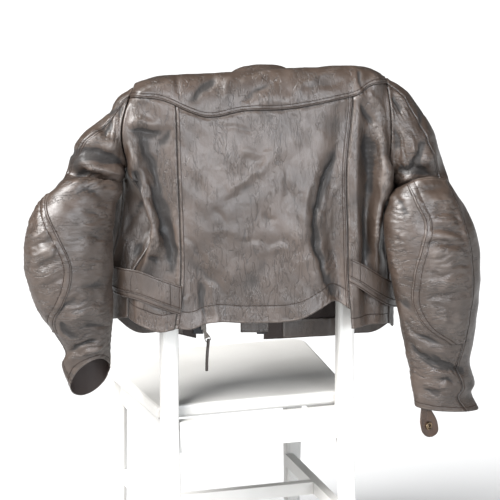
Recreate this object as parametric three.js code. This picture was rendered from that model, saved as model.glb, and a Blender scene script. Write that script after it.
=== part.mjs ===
// A leather motorcycle jacket hung over the back of a plain high-backed wooden chair.
// Millimetres, +Z up. The sizes below are taken from the middle of the chair's back, with the
// floor at z 0. The back of the jacket hangs behind the chair's back, at -Y, and its open fronts
// hang over the seat side, at +Y. The group is moved at the end, so that the origin is under the
// middle of it all.
//
// The jacket's tables are read square on by a viewer who stands behind the chair and a little to
// its left: x runs to the viewer's right, y is how far a place lies behind the chair's top edge as
// the viewer looks, and a drop is measured down from that edge as the viewer sees it. place()
// turns such a point into the chair's own frame.

import * as THREE from "three";

// ---------------------------------------------------------------- driving sizes

const LEATHER = 2; // wall of the body, yoke and sleeves
const SEAM = 0.25; // how far each panel's outer edge stops short of a seam
const BEVEL = 1.1; // the same for its inner edge, as on skived leather
const SHOULDER_Z = 1100; // height that every drop below is measured from
// The viewer of the tables: degrees off square, how much a level edge seems to rise to the right,
// how much bigger a thing that looks the same really is to the right, and the eye's own height.
const VIEWER = { turn: 17, slope: 0.0765, grow: 5.9e-5, eye: 755 };
const MIDDLE = { x: -10.9, y: 148 }; // middle of the whole footprint, which becomes the origin

// The lines that run down the body, as seen from above. Each has an x and a y at five drops
// below the shoulders. A ridge stands out, a tuck or hollow goes in, and seams join panels.
const DROPS = { yoke: 70, armpit: 190, chest: 310, waist: 400, hem: 500 };
const line = (name, cols, yoke, armpit, chest, waist, hem) => ({
  name,
  cols,
  at: { yoke, armpit, chest, waist, hem },
});
// cols is the number of grid columns from this line to the next one.
const BACK_LINES = [
  line("side seam, left", 2, [-241, -8], [-253, 5], [-192, -26], [-240, -28], [-250, -26]),
  line("ridge, left", 3, [-229, -25], [-238, -42], [-201, -60], [-226, -50], [-232, -48]),
  line("hollow, left", 2, [-192, -31], [-190, -36], [-178, -48], [-182, -50], [-192, -58]),
  line("back seam, left", 2, [-154, -36], [-151, -47], [-147, -55], [-146, -59], [-158, -63]),
  line("fold, left", 3, [-118, -38], [-116, -51], [-112, -60], [-110, -56], [-112, -66]),
  line("middle, left", 3, [-50, -39], [-50, -54], [-50, -63], [-48, -64], [-48, -66]),
  line("middle, right", 3, [48, -39], [46, -54], [44, -64], [45, -66], [42, -70]),
  line("fold crest, right", 2, [140, -36], [130, -50], [112, -64], [132, -66], [138, -80]),
  line("fold hollow, right", 1, [160, -33], [150, -42], [138, -46], [154, -52], [164, -66]),
  line("back seam, right", 1, [179, -31], [168, -45], [171, -54], [173, -60], [180, -68]),
  line("strip, right", 1, [190, -34], [187, -50], [189, -58], [190, -60], [192, -62]),
  line("tuck, right", 2, [206, -27], [206, -24], [208, -24], [206, -36], [207, -50]),
  line("ridge, right", 2, [229, -22], [243, -44], [227, -52], [229, -38], [236, -34]),
  line("side seam, right", 0, [242, -6], [257, 2], [243, -10], [250, -10], [252, -5]),
];
const LEFT_FRONT_LINES = [
  line("front seam, left", 2, [-242, 38], [-256, 36], [-264, 16], [-286, 16], [-288, 22]),
  line("side, left", 2, [-224, 50], [-255, 66], [-286, 54], [-293, 54], [-290, 58]),
  line("chest, left", 3, [-200, 50], [-224, 92], [-250, 94], [-256, 98], [-252, 98]),
  line("pocket, left", 3, [-150, 48], [-170, 98], [-186, 108], [-190, 110], [-190, 108]),
  line("front edge, left", 0, [-75, 46], [-96, 88], [-112, 100], [-117, 100], [-121, 98]),
];
const RIGHT_FRONT_LINES = [
  line("front edge, right", 3, [85, 46], [50, 90], [26, 100], [16, 100], [12, 98]),
  line("zip side, right", 3, [130, 48], [118, 100], [112, 112], [110, 112], [108, 106]),
  line("pocket, right", 3, [190, 50], [198, 98], [206, 106], [206, 106], [208, 98]),
  line("side, right", 2, [226, 50], [251, 66], [262, 64], [264, 62], [262, 60]),
  line("front seam, right", 0, [243, 40], [260, 34], [257, 14], [263, 14], [263, 20]),
];

// Heights that change across the jacket, as drops below the shoulders.
const YOKE_SEAM = [
  // x, drop of the seam under the back yoke
  { x: -246, drop: 55 },
  { x: -175, drop: 61 },
  { x: -130, drop: 80 },
  { x: -103, drop: 89 },
  { x: -25, drop: 78 },
  { x: 51, drop: 75 },
  { x: 144, drop: 59 },
  { x: 190, drop: 47 },
  { x: 213, drop: 32 },
  { x: 250, drop: 30 },
];
const RIDGE = [
  // x, true drop of the top of the shoulders, and its y: level where it lies on the chair
  { x: -246, drop: 28, y: 16 },
  { x: -207, drop: 13.5, y: 5 },
  { x: -150, drop: 8, y: 0 },
  { x: -110, drop: 8, y: 0 },
  { x: 0, drop: 8, y: 0 },
  { x: 110, drop: 8, y: 0 },
  { x: 160, drop: 8, y: 0 },
  { x: 200, drop: 12.5, y: 4 },
  { x: 224, drop: 23, y: 10 },
  { x: 250, drop: 38, y: 16 },
];
const FRONT_YOKE = [
  // x, drop and y of the seam in front of the shoulders
  { x: -240, drop: 60, y: 38 },
  { x: -180, drop: 78, y: 49 },
  { x: -75, drop: 84, y: 46 },
  { x: 85, drop: 84, y: 46 },
  { x: 190, drop: 74, y: 49 },
  { x: 244, drop: 46, y: 41 },
];
const SIDE_HEM_LEFT = [
  { x: -288, drop: 478 },
  { x: -266, drop: 478 },
  { x: -248, drop: 486 },
  { x: -224, drop: 495 },
  { x: -187, drop: 506 },
  { x: -158, drop: 499 },
];
const BACK_HEM = [
  { x: -158, drop: 497 },
  { x: -127, drop: 498 },
  { x: -99, drop: 487 },
  { x: -15, drop: 485 },
  { x: 87, drop: 473 },
  { x: 122, drop: 454 },
  { x: 148, drop: 442 },
  { x: 180, drop: 458 },
];
const SIDE_HEM_RIGHT = [
  { x: 180, drop: 496 },
  { x: 243, drop: 498 },
  { x: 263, drop: 508 },
];
const FRONT_HEM_LEFT = [
  { x: -290, drop: 500 },
  { x: -250, drop: 545 },
  { x: -177, drop: 552 },
  { x: -121, drop: 562 },
];
const FRONT_HEM_RIGHT = [
  { x: 12, drop: 564 },
  { x: 100, drop: 561 },
  { x: 190, drop: 553 },
  { x: 240, drop: 538 },
  { x: 264, drop: 514 },
];

// Rings of each sleeve, from inside the armhole to the cuff: the outer and inner points of the
// ring, the y of its middle, half its depth, how much its camera side (-Y) is raised, and the
// angle of the outer seam, in degrees from the outer point towards -Y.
const ring = (outX, outZ, inX, inZ, y, depth, raise, seam) => ({
  outX,
  outZ,
  inX,
  inZ,
  y,
  depth,
  raise,
  seam,
});
const SLEEVES = {
  left: [
    ring(-228, 1062, -240, 906, 16, 37, 0, 32),
    ring(-259, 1039, -256, 900, 14, 40, 0, 34),
    ring(-289, 1004, -261, 894, 12, 45, 0, 40),
    ring(-329, 966, -265, 888, 10, 48, 4, 40),
    ring(-350, 927, -268, 881, 8, 47, 8, 32),
    ring(-356, 897, -269, 872, 15, 36, 0, 22),
    ring(-381, 868, -268, 862, -18, 50, 30, 14),
    ring(-420, 837, -270, 835, -37, 55, 12, 10),
    ring(-441, 779, -275, 780, -45, 57, 2, 10),
    ring(-443, 720, -277, 721, -48, 55, 0, 10),
    ring(-425, 652, -278, 652, -46, 52, 0, 12),
    ring(-391, 590, -280, 597, -42, 46, 4, 14),
    ring(-371, 549, -282, 561, -38, 40, 10, 16),
    ring(-378, 520, -284, 541, -36, 37, 24, 18),
    ring(-361, 476, -285, 520, -36, 34, 40, 20),
  ],
  right: [
    ring(234, 1080, 242, 894, 16, 39, 0, 24),
    ring(268, 1062, 259, 886, 14, 42, 0, 30),
    ring(296, 1036, 262, 880, 11, 46, 0, 40),
    ring(322, 998, 265, 874, 8, 50, 3, 45),
    ring(344, 948, 268, 868, 6, 50, 6, 48),
    ring(359, 895, 268, 861, 12, 38, 0, 45),
    ring(368, 870, 256, 853, -20, 53, 34, 42),
    ring(392, 840, 241, 824, -40, 60, 14, 38),
    ring(415, 788, 241, 771, -48, 62, 3, 38),
    ring(425, 727, 249, 720, -50, 60, 0, 38),
    ring(423, 653, 264, 653, -48, 56, 0, 40),
    ring(416, 577, 279, 577, -44, 48, 0, 48),
    ring(408, 530, 291, 521, -40, 42, 4, 55),
    ring(421, 487, 298, 482, -36, 38, 0, 55),
    ring(414, 466, 301, 461, -36, 35, 0, 60),
    ring(429, 435, 304, 441, -36, 34, 0, 52),
  ],
};
const SLEEVE_STEPS = 2; // rows from one ring to the next
const FRONT_COLS = 9; // columns round the front half of a sleeve
const PAD_COLS = 5; // columns of the back half, from the outer seam to the elbow line
const REST_COLS = 5; // and from there to the inner seam

// The armhole, as a place along the rings: at its top, and how much further out it runs at the
// back and in front. Then where it meets each seam, in degrees from its top by the back.
const ARMHOLES = {
  gap: 1,
  left: { at: 0.25, behind: 0.75, before: 0.1, yoke: 34, back: 150, front: 204, frontYoke: 322 },
  right: { at: 0.25, behind: 0.3, before: 0.1, yoke: 24, back: 152, front: 204, frontYoke: 320 },
};

// The elbow line: the edge of the padded elbow piece away from the outer seam, as an angle at a
// place along the rings. It runs on past both ends of the piece as a plain line of the grid.
const elbow = (ring, angle) => ({ ring, angle });
const ELBOW = {
  thick: 2.4,
  clear: 0.7,
  left: { from: 6.5, to: 11 },
  right: { from: 6, to: 11 },
};
const ELBOW_LINES = {
  left: [
    elbow(0, 95),
    elbow(5, 88),
    elbow(6, 40),
    elbow(6.5, 30),
    elbow(7, 46),
    elbow(7.9, 80),
    elbow(8.9, 97),
    elbow(9.5, 90),
    elbow(10, 74),
    elbow(10.5, 50),
    elbow(11, 32),
    elbow(12, 60),
    elbow(14, 100),
  ],
  right: [
    elbow(0, 100),
    elbow(5, 124),
    elbow(6, 124),
    elbow(6.7, 108),
    elbow(7.4, 96),
    elbow(8.1, 105),
    elbow(9.2, 122),
    elbow(10, 128),
    elbow(10.5, 112),
    elbow(11, 74),
    elbow(11.6, 74),
    elbow(13, 104),
    elbow(15, 110),
  ],
};

// Waist straps, sewn to the back seams: the path of the outer band's face, and the drops of its
// upper and lower edge.
const strap = (x, y, top, bottom) => ({ x, y, top, bottom });
const STRAP = { thick: 3, under: 1.6, underDrop: 12, underShare: 0.6, clear: 0.5 };
const STRAPS = {
  left: [
    strap(-145, -68, 412, 459),
    strap(-182, -68, 399, 446),
    strap(-226, -61, 384, 431),
    strap(-262, -40, 383, 428),
    strap(-290, 2, 384, 427),
    strap(-301, 50, 388, 430),
    strap(-276, 98, 392, 434),
    strap(-212, 119, 394, 436),
  ],
  right: [
    strap(175, -66.2, 357, 395),
    strap(200, -67, 369, 408),
    strap(229, -54, 390, 430),
    strap(256, -25, 411, 451),
    strap(275, 14, 423, 463),
    strap(279, 52, 428, 468),
    strap(264, 92, 430, 470),
    strap(220, 117, 431, 471),
  ],
};

const COLLAR = { height: 42, lean: 0.2, leanEnds: 0.45, neckX: 5, neckHalf: 80, neckBack: 117, clear: 1 };
const FACING = { rows: 1, thick: 1.6, clear: 0.4 }; // turned-in band inside the front hems
const WIND_FLAP = { top: 110, bottom: 548, lap: 10, out: 46, thick: 2, behind: 3.1, rows: 10 };
const ZIP = { top: 104, bottom: 552, lap: 6, out: 14, thick: 1.2, behind: 1, rows: 12 };
const SLIDER = { drop: 534, wide: 11, deep: 8, high: 15, slot: 2.4, grip: 6.5 };
const BAIL = { wide: 3, inner: 3.2, outer: 5, gap: 0.2 }; // the arch that holds the pull
const PULL = { thick: 1.6, bar: 1.6, wide: 11, end: 12, length: 36, hole: 7, ring: 9, tilt: 20 };
const LANYARD = { wide: 5.5, layer: 1.1, length: 64, tilt: -4, slack: 1.5 };
const TAB = { thick: 2.4, inside: 0.45, hang: 73, drift: 15, angle: 222, span: 22, wider: 2.3, clear: 1.9 };
const SNAP = { radius: 8.5, hole: 3, thick: 2.4, gap: 0.7, at: 0.7 };

const CHAIR = {
  backHalf: 195, // outer faces of the two back posts
  backTop: 1089,
  thick: 30, // front to back, of the posts and the top rail
  railHigh: 118,
  railRound: 48,
  postWide: 34,
  seatZ: 440, // top of the seat
  seatThick: 26,
  seatHalfBack: 198,
  seatHalfFront: 222,
  seatDepth: 405,
  splay: 48, // how far the back legs lean back at the floor
  straightTo: 400, // below this the back legs lean
  gap: 0.3,
  lowRail: { z: 668, high: 50 },
  slat: { high: 44, thick: 14, places: [752, 826, 900] }, // across the back, one over another
  frontLeg: { x: 190, y: 368, top: 40, foot: 27 },
  apron: { high: 62, thick: 20 },
  stretcher: { high: 26, thick: 18, sideZ: 190, middleZ: 190 },
};

const COLOURS = {
  leather: { color: 0x4a423e, roughness: 0.42, metalness: 0 },
  lining: { color: 0x1d1310, roughness: 0.85, metalness: 0 },
  metal: { color: 0x8a8378, roughness: 0.35, metalness: 1 },
  tape: { color: 0x17171a, roughness: 0.8, metalness: 0 },
  paint: { color: 0xe4e1da, roughness: 0.45, metalness: 0 },
};

// ---------------------------------------------------------------- small helpers

const V = (x, y, z) => new THREE.Vector3(x, y, z);
const rad = THREE.MathUtils.degToRad;
const mix = THREE.MathUtils.lerp;

// From the viewer's reading of the jacket to the chair's own frame.
function place(p) {
  const { turn, slope, grow, eye } = VIEWER;
  const size = 1 + grow * p.x;
  const across = p.x * size;
  return V(
    across / Math.cos(rad(turn)) + p.y * Math.sin(rad(turn)),
    p.y * Math.cos(rad(turn)),
    eye + (p.z - eye) * size - slope * p.x,
  );
}

// The height that a table gives to a place at x whose true height is z.
function seenHeight(x, z) {
  const { slope, grow, eye } = VIEWER;
  return eye + (z - eye + slope * x) / (1 + grow * x);
}

// A smooth curve through the values vs at the places ts, held flat past both ends.
function through(ts, vs, t) {
  const last = ts.length - 1;
  if (t <= ts[0]) return vs[0];
  if (t >= ts[last]) return vs[last];
  let i = 0;
  while (t > ts[i + 1]) i += 1;
  const slope = (k) => (vs[k + 1] - vs[k]) / (ts[k + 1] - ts[k]);
  const tangent = (k) => {
    if (k === 0) return slope(0);
    if (k === last) return slope(last - 1);
    const before = ts[k] - ts[k - 1];
    const after = ts[k + 1] - ts[k];
    return (slope(k - 1) * after + slope(k) * before) / (before + after);
  };
  const h = ts[i + 1] - ts[i];
  const u = (t - ts[i]) / h;
  const a = 2 * u ** 3 - 3 * u ** 2 + 1;
  const b = u ** 3 - 2 * u ** 2 + u;
  const c = -2 * u ** 3 + 3 * u ** 2;
  const d = u ** 3 - u ** 2;
  return a * vs[i] + b * h * tangent(i) + c * vs[i + 1] + d * h * tangent(i + 1);
}

// Reads a column of a table whose rows are sorted by another column.
const read = (table, by, what, at) =>
  through(
    table.map((row) => row[by]),
    table.map((row) => row[what]),
    at,
  );

const smoothstep = (t) => t * t * (3 - 2 * t);

// ---------------------------------------------------------------- sheets and their walls

// Points of a grid: rows of points, from a function of the column and the row.
function grid(cols, rows, point) {
  return Array.from({ length: rows + 1 }, (_, r) =>
    Array.from({ length: cols + 1 }, (_, c) => point(c, r)),
  );
}

// The outward normal at each point of a grid. side is 1 or -1, whichever points out.
function normals(points, side) {
  const rows = points.length - 1;
  const cols = points[0].length - 1;
  return grid(cols, rows, (c, r) => {
    const along = points[r][Math.min(c + 1, cols)].clone().sub(points[r][Math.max(c - 1, 0)]);
    const down = points[Math.min(r + 1, rows)][c].clone().sub(points[Math.max(r - 1, 0)][c]);
    return down.cross(along).normalize().multiplyScalar(side);
  });
}

const moved = (points, dirs, by) =>
  grid(points[0].length - 1, points.length - 1, (c, r) =>
    points[r][c].clone().addScaledVector(dirs[r][c], by),
  );

// The grid with its border drawn in by a small distance, so that it stops short of its seams.
function drawnIn(points, by) {
  const rows = points.length - 1;
  const cols = points[0].length - 1;
  return grid(cols, rows, (c, r) => {
    const p = points[r][c].clone();
    const towards = (q) => p.addScaledVector(q.clone().sub(points[r][c]).normalize(), by);
    if (c === 0) towards(points[r][1]);
    if (c === cols) towards(points[r][cols - 1]);
    if (r === 0) towards(points[1][c]);
    if (r === rows) towards(points[rows - 1][c]);
    return p;
  });
}

// One closed solid between two grids of the same size, outer and inner.
function wall(outer, inner, side) {
  const rows = outer.length - 1;
  const cols = outer[0].length - 1;
  const count = (rows + 1) * (cols + 1);
  const position = [...outer.flat(), ...inner.flat()].flatMap((p) => [p.x, p.y, p.z]);
  const index = [];
  const quad = (a, b, c, d) => {
    if (side > 0) index.push(a, c, b, a, d, c);
    else index.push(a, b, c, a, c, d);
  };
  const at = (c, r, layer) => layer * count + r * (cols + 1) + c;
  for (let r = 0; r < rows; r += 1) {
    for (let c = 0; c < cols; c += 1) {
      quad(at(c, r, 0), at(c + 1, r, 0), at(c + 1, r + 1, 0), at(c, r + 1, 0));
      quad(at(c, r, 1), at(c, r + 1, 1), at(c + 1, r + 1, 1), at(c + 1, r, 1));
    }
  }
  for (let c = 0; c < cols; c += 1) {
    quad(at(c, 0, 0), at(c, 0, 1), at(c + 1, 0, 1), at(c + 1, 0, 0));
    quad(at(c, rows, 0), at(c + 1, rows, 0), at(c + 1, rows, 1), at(c, rows, 1));
  }
  for (let r = 0; r < rows; r += 1) {
    quad(at(0, r, 0), at(0, r + 1, 0), at(0, r + 1, 1), at(0, r, 1));
    quad(at(cols, r, 0), at(cols, r, 1), at(cols, r + 1, 1), at(cols, r + 1, 0));
  }
  const geometry = new THREE.BufferGeometry();
  geometry.setAttribute("position", new THREE.Float32BufferAttribute(position, 3));
  geometry.setIndex(index);
  geometry.computeVertexNormals();
  return geometry;
}

// A leather panel cut from a sheet: some of its columns and rows, with seam gaps all round.
// lift moves it off the sheet, outwards, and thick is its own wall.
function panel(sheet, { from = 0, to, top = 0, bottom, lift = 0, thick = LEATHER } = {}) {
  const lastCol = to ?? sheet.points[0].length - 1;
  const lastRow = bottom ?? sheet.points.length - 1;
  const cut = (g) => g.slice(top, lastRow + 1).map((row) => row.slice(from, lastCol + 1));
  const points = cut(sheet.points);
  const dirs = cut(sheet.normals);
  const outer = drawnIn(moved(points, dirs, lift), SEAM);
  const inner = drawnIn(moved(points, dirs, lift - thick), BEVEL);
  return wall(outer, inner, sheet.side);
}

const sheet = (points, side) => ({ points, normals: normals(points, side), side });

// The same for points read from the tables, which are turned into the chair's frame.
const placed = (points, side) => sheet(points.map((row) => row.map(place)), side);

// ---------------------------------------------------------------- sleeves

const sleeveTable = (side) => SLEEVES[side].map((row, i) => ({ ...row, i }));

// A point of a sleeve: at is a place along the rings, and angle goes round from the outer point
// (0) by the -Y side (90) to the inner point (180), in degrees.
function sleevePoint(side, at, angle) {
  const table = sleeveTable(side);
  const get = (what) => read(table, "i", what, at);
  const middle = V((get("outX") + get("inX")) / 2, get("y"), (get("outZ") + get("inZ")) / 2);
  const out = V(get("outX") - get("inX"), 0, get("outZ") - get("inZ")).multiplyScalar(0.5);
  const near = V(0, -get("depth"), get("raise"));
  return middle
    .addScaledVector(out, Math.cos(rad(angle)))
    .addScaledVector(near, Math.sin(rad(angle)));
}

// The outward normal there, in the chair's frame.
function sleeveNormal(side, at, angle) {
  const last = SLEEVES[side].length - 1;
  const point = (a, t) => place(sleevePoint(side, Math.min(Math.max(a, 0), last), t));
  const round = point(at, angle + 4).sub(point(at, angle - 4));
  const down = point(at + 0.2, angle).sub(point(at - 0.2, angle));
  const n = down.cross(round).normalize();
  return side === "left" ? n : n.negate();
}

const sleeveSeam = (side, at) => read(sleeveTable(side), "i", "seam", at);

// The armhole's place along the rings, at an angle round it.
function armholeAt(side, turn) {
  const { at, behind, before } = ARMHOLES[side];
  const s = Math.sin(rad(turn));
  return at + (s > 0 ? behind : before) * s * s;
}

// The body's edge round a sleeve. turn goes round from the top, by the back, in degrees.
const armholePoint = (side, turn) => sleevePoint(side, armholeAt(side, turn), turn);

// The place along the rings where a row of the sleeve lies. The first rows spread out from the
// armhole, so that the sleeve starts just clear of the body's edge.
const FAN_ROWS = 3;
function sleeveAt(side, r, angle) {
  if (r >= FAN_ROWS) return r / SLEEVE_STEPS;
  const edge = armholeAt(side, angle);
  const step = sleevePoint(side, edge + 0.1, angle).distanceTo(sleevePoint(side, edge, angle));
  return mix(edge + (0.1 * ARMHOLES.gap) / step, FAN_ROWS / SLEEVE_STEPS, r / FAN_ROWS);
}

// Half of a sleeve, from the outer seam to the inner one: the back half lies at -Y.
function sleeveHalf(side, half) {
  const rows = (SLEEVES[side].length - 1) * SLEEVE_STEPS;
  const isBack = half === "back";
  const cols = isBack ? PAD_COLS + REST_COLS : FRONT_COLS;
  const angleAt = (c, at) => {
    const seam = sleeveSeam(side, at);
    if (!isBack) return mix(seam, -180, c / cols);
    const line = read(ELBOW_LINES[side], "ring", "angle", at);
    return c <= PAD_COLS
      ? mix(seam, line, c / PAD_COLS)
      : mix(line, 180, (c - PAD_COLS) / REST_COLS);
  };
  const spot = (c, r) => {
    const angle = angleAt(c, r / SLEEVE_STEPS);
    return [side, sleeveAt(side, r, angle), angle];
  };
  const points = grid(cols, rows, (c, r) => place(sleevePoint(...spot(c, r))));
  const dirs = grid(cols, rows, (c, r) => sleeveNormal(...spot(c, r)));
  return { points, normals: dirs, side: (side === "left") === isBack ? 1 : -1 };
}

// ---------------------------------------------------------------- body

const DROP_LIST = Object.values(DROPS);

// Where a line of the body is at a drop below the shoulders, as seen from above.
function linePoint(row, drop) {
  const places = Object.values(row.at);
  const get = (axis) =>
    through(
      DROP_LIST,
      places.map((p) => p[axis]),
      drop,
    );
  return { x: get(0), y: get(1) };
}

// Columns of a set of lines: the line each column follows, and its share of the way to the next.
function columnsOf(lines) {
  const columns = lines.flatMap((row, i) =>
    Array.from({ length: row.cols }, (_, k) => ({ line: i, share: k / row.cols })),
  );
  columns.push({ line: lines.length - 1, share: 0 });
  return columns;
}
const columnOf = (lines, name) => {
  const i = lines.findIndex((row) => row.name === name);
  return lines.slice(0, i).reduce((sum, row) => sum + row.cols, 0);
};

// A point of the body between its lines, at a drop. ends may replace the first or last line's
// own point, as at an armhole.
function bodyPoint(lines, column, drop, ends = {}) {
  const plan = lines.map((row) => linePoint(row, drop));
  if (ends.first) plan[0] = ends.first;
  if (ends.last) plan[plan.length - 1] = ends.last;
  const run = [0];
  for (let i = 1; i < plan.length; i += 1) {
    run.push(run[i - 1] + Math.hypot(plan[i].x - plan[i - 1].x, plan[i].y - plan[i - 1].y));
  }
  const i = column.line;
  const t = i < run.length - 1 ? mix(run[i], run[i + 1], column.share) : run[i];
  const x = through(
    run,
    plan.map((p) => p.x),
    t,
  );
  const y = through(
    run,
    plan.map((p) => p.y),
    t,
  );
  return V(x, y, SHOULDER_Z - drop);
}

const TOP_ROWS = 5; // from the yoke to the armpit
const LOW_ROWS = 9; // from the armpit to the hem
const OVER_ROWS = 10; // over the shoulders
const YOKE_GAP = 0.7; // the fronts start this much below the yoke's front edge

const BACK_COLUMNS = columnsOf(BACK_LINES);
const backSeamLeft = columnOf(BACK_LINES, "back seam, left");
const backSeamRight = columnOf(BACK_LINES, "back seam, right");

// The back of the body, from side seam to side seam. hem gives the drop of the hem at an x.
function backSheet(hem) {
  const last = BACK_COLUMNS.length - 1;
  const points = grid(last, TOP_ROWS + LOW_ROWS, (c, r) => {
    const column = BACK_COLUMNS[c];
    const seams = ARMHOLES;
    if (r <= TOP_ROWS) {
      const share = r / TOP_ROWS;
      const edge = (side) =>
        armholePoint(side, mix(seams[side].yoke, seams[side].back, share));
      if (c === 0) return edge("left");
      if (c === last) return edge("right");
      const x = bodyPoint(BACK_LINES, column, DROPS.yoke).x;
      const drop = mix(read(YOKE_SEAM, "x", "drop", x), DROPS.armpit, share);
      return bodyPoint(BACK_LINES, column, drop, { first: edge("left"), last: edge("right") });
    }
    const share = (r - TOP_ROWS) / LOW_ROWS;
    const start = c === 0 || c === last ? SHOULDER_Z - armpitEnd(c === 0).z : DROPS.armpit;
    const hemDrop = hem(bodyPoint(BACK_LINES, column, DROPS.hem).x);
    return bodyPoint(BACK_LINES, column, mix(start, hemDrop, share));
  });
  return placed(points, 1);
}

const armpitEnd = (isLeft) => {
  const side = isLeft ? "left" : "right";
  return armholePoint(side, ARMHOLES[side].back);
};

// The yoke goes from the back seam, over the shoulders, to the seam in front or to the neck.
function yokeSheet() {
  const last = BACK_COLUMNS.length - 1;
  const points = grid(last, OVER_ROWS, (c, r) => {
    const share = r / OVER_ROWS;
    const end = (side) => {
      const s = ARMHOLES[side];
      return armholePoint(side, mix(s.yoke, s.frontYoke - 360, share));
    };
    if (c === 0) return end("left");
    if (c === last) return end("right");
    return overShoulder(bodyPoint(BACK_LINES, BACK_COLUMNS[c], DROPS.yoke).x, share);
  });
  return placed(points, -1);
}

// How far round the arch over the shoulders the leather goes at an x, from 0 to 180 degrees.
function archEnd(x) {
  const away = Math.abs(x - COLLAR.neckX) / COLLAR.neckHalf;
  return away >= 1 ? 180 : mix(COLLAR.neckBack, 180, away ** 2.5);
}

// A point of the arch over the shoulders, from the back yoke seam (0) to its front end (1).
function overShoulder(x, share) {
  const drop = read(YOKE_SEAM, "x", "drop", x);
  const back = { y: yokeSeamY(x, drop), drop };
  const ridge = SHOULDER_Z - read(RIDGE, "x", "drop", x);
  const top = { y: read(RIDGE, "x", "y", x), drop: SHOULDER_Z - seenHeight(x, ridge) };
  const front = {
    y: read(FRONT_YOKE, "x", "y", x),
    drop: read(FRONT_YOKE, "x", "drop", x),
  };
  const angle = rad(share < 0.5 ? 180 * share : mix(90, archEnd(x), 2 * share - 1));
  const foot = angle < Math.PI / 2 ? back : front;
  const y = mix(top.y, foot.y, Math.abs(Math.cos(angle)));
  return V(x, y, SHOULDER_Z - mix(foot.drop, top.drop, Math.sin(angle)));
}

// The y of the back yoke seam at an x, from the same lines as the back.
function yokeSeamY(x, drop) {
  const plan = BACK_LINES.map((row) => linePoint(row, drop));
  return through(
    plan.map((p) => p.x),
    plan.map((p) => p.y),
    x,
  );
}

// The narrow panel under the arm, between the side seam and the front seam.
function sideSheet(side) {
  const isLeft = side === "left";
  const back = isLeft ? BACK_LINES[0] : BACK_LINES[BACK_LINES.length - 1];
  const front = isLeft ? LEFT_FRONT_LINES[0] : RIGHT_FRONT_LINES[RIGHT_FRONT_LINES.length - 1];
  const s = ARMHOLES[side];
  const hem = isLeft ? SIDE_HEM_LEFT : SIDE_HEM_RIGHT;
  const frontHem = isLeft ? FRONT_HEM_LEFT : FRONT_HEM_RIGHT;
  const cols = 3;
  const points = grid(cols, LOW_ROWS, (c, r) => {
    const round = c / cols;
    const top = armholePoint(side, mix(s.back, s.front, round));
    if (r === 0) return top;
    const backEnd = read(hem, "x", "drop", linePoint(back, DROPS.hem).x);
    const frontEnd = read(frontHem, "x", "drop", linePoint(front, DROPS.hem).x);
    const start = SHOULDER_Z - top.z;
    const drop = mix(start, mix(backEnd, frontEnd, round), r / LOW_ROWS);
    const a = linePoint(back, drop);
    const b = linePoint(front, drop);
    const bulge = 4 * Math.sin(Math.PI * round) * smoothstep(r / LOW_ROWS);
    const x = mix(a.x, b.x, round) + (isLeft ? -bulge : bulge);
    return V(x, mix(a.y, b.y, round), SHOULDER_Z - drop);
  });
  return placed(points, isLeft ? -1 : 1);
}

// A front, from the armhole and front seam to its open edge.
function frontSheet(side) {
  const isLeft = side === "left";
  const lines = isLeft ? LEFT_FRONT_LINES : RIGHT_FRONT_LINES;
  const hem = isLeft ? FRONT_HEM_LEFT : FRONT_HEM_RIGHT;
  const columns = columnsOf(lines);
  const last = columns.length - 1;
  const seamCol = isLeft ? 0 : last;
  const s = ARMHOLES[side];
  const rows = TOP_ROWS + LOW_ROWS;
  const points = grid(last, rows, (c, r) => {
    const column = columns[c];
    const hemDrop = read(hem, "x", "drop", bodyPoint(lines, column, DROPS.hem).x);
    const edge = (share) => armholePoint(side, mix(s.frontYoke, s.front, share));
    if (r <= TOP_ROWS) {
      const share = r / TOP_ROWS;
      if (c === seamCol) return edge(share);
      const at = bodyPoint(lines, column, DROPS.yoke);
      const start = read(FRONT_YOKE, "x", "drop", at.x) + YOKE_GAP;
      const ends = isLeft ? { first: edge(share) } : { last: edge(share) };
      const p = bodyPoint(lines, column, mix(start, DROPS.armpit, share), ends);
      if (r === 0) p.y = read(FRONT_YOKE, "x", "y", p.x);
      return p;
    }
    const start = c === seamCol ? SHOULDER_Z - edge(1).z : DROPS.armpit;
    return bodyPoint(lines, column, mix(start, hemDrop, (r - TOP_ROWS) / LOW_ROWS));
  });
  return placed(points, -1);
}

// ---------------------------------------------------------------- collar, facings and zip

// The stand collar rises from the neck edge of the yoke and falls forward with the fronts.
function collarSheet() {
  const cols = 20;
  const rows = 3;
  const half = COLLAR.neckHalf;
  const points = grid(cols, rows, (c, r) => {
    const turn = mix(-1, 1, c / cols);
    const x = COLLAR.neckX + half * Math.sin((turn * Math.PI) / 2) * 0.995;
    const base = overShoulder(x, 1);
    const side = Math.abs(turn) ** 2;
    const up = V(0.25 * turn, 1, mix(COLLAR.lean, COLLAR.leanEnds, side)).normalize();
    const rise = COLLAR.clear + (COLLAR.height * r) / rows;
    return base.addScaledVector(up, rise);
  });
  return placed(points, -1);
}

// The edge of a front, as a point at each drop.
function frontEdge(side, drop) {
  const lines = side === "left" ? LEFT_FRONT_LINES : RIGHT_FRONT_LINES;
  const edge = side === "left" ? lines[lines.length - 1] : lines[0];
  const p = linePoint(edge, drop);
  return V(p.x, p.y, SHOULDER_Z - drop);
}

// A strip along a front's open edge, behind it: from lap under the leather to out past it.
function edgeStrip(side, { top, bottom, lap, out, behind, thick, rows }) {
  const away = side === "left" ? 1 : -1;
  const cols = 2;
  const points = grid(cols, rows, (c, r) => {
    const p = frontEdge(side, mix(top, bottom, r / rows));
    const past = mix(-lap, out, (away > 0 ? c : cols - c) / cols);
    return place(p.add(V(away * past, -LEATHER - behind, 0)));
  });
  const face = sheet(points, -1);
  return wall(face.points, moved(face.points, face.normals, -thick), face.side);
}

// ---------------------------------------------------------------- straps

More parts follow.
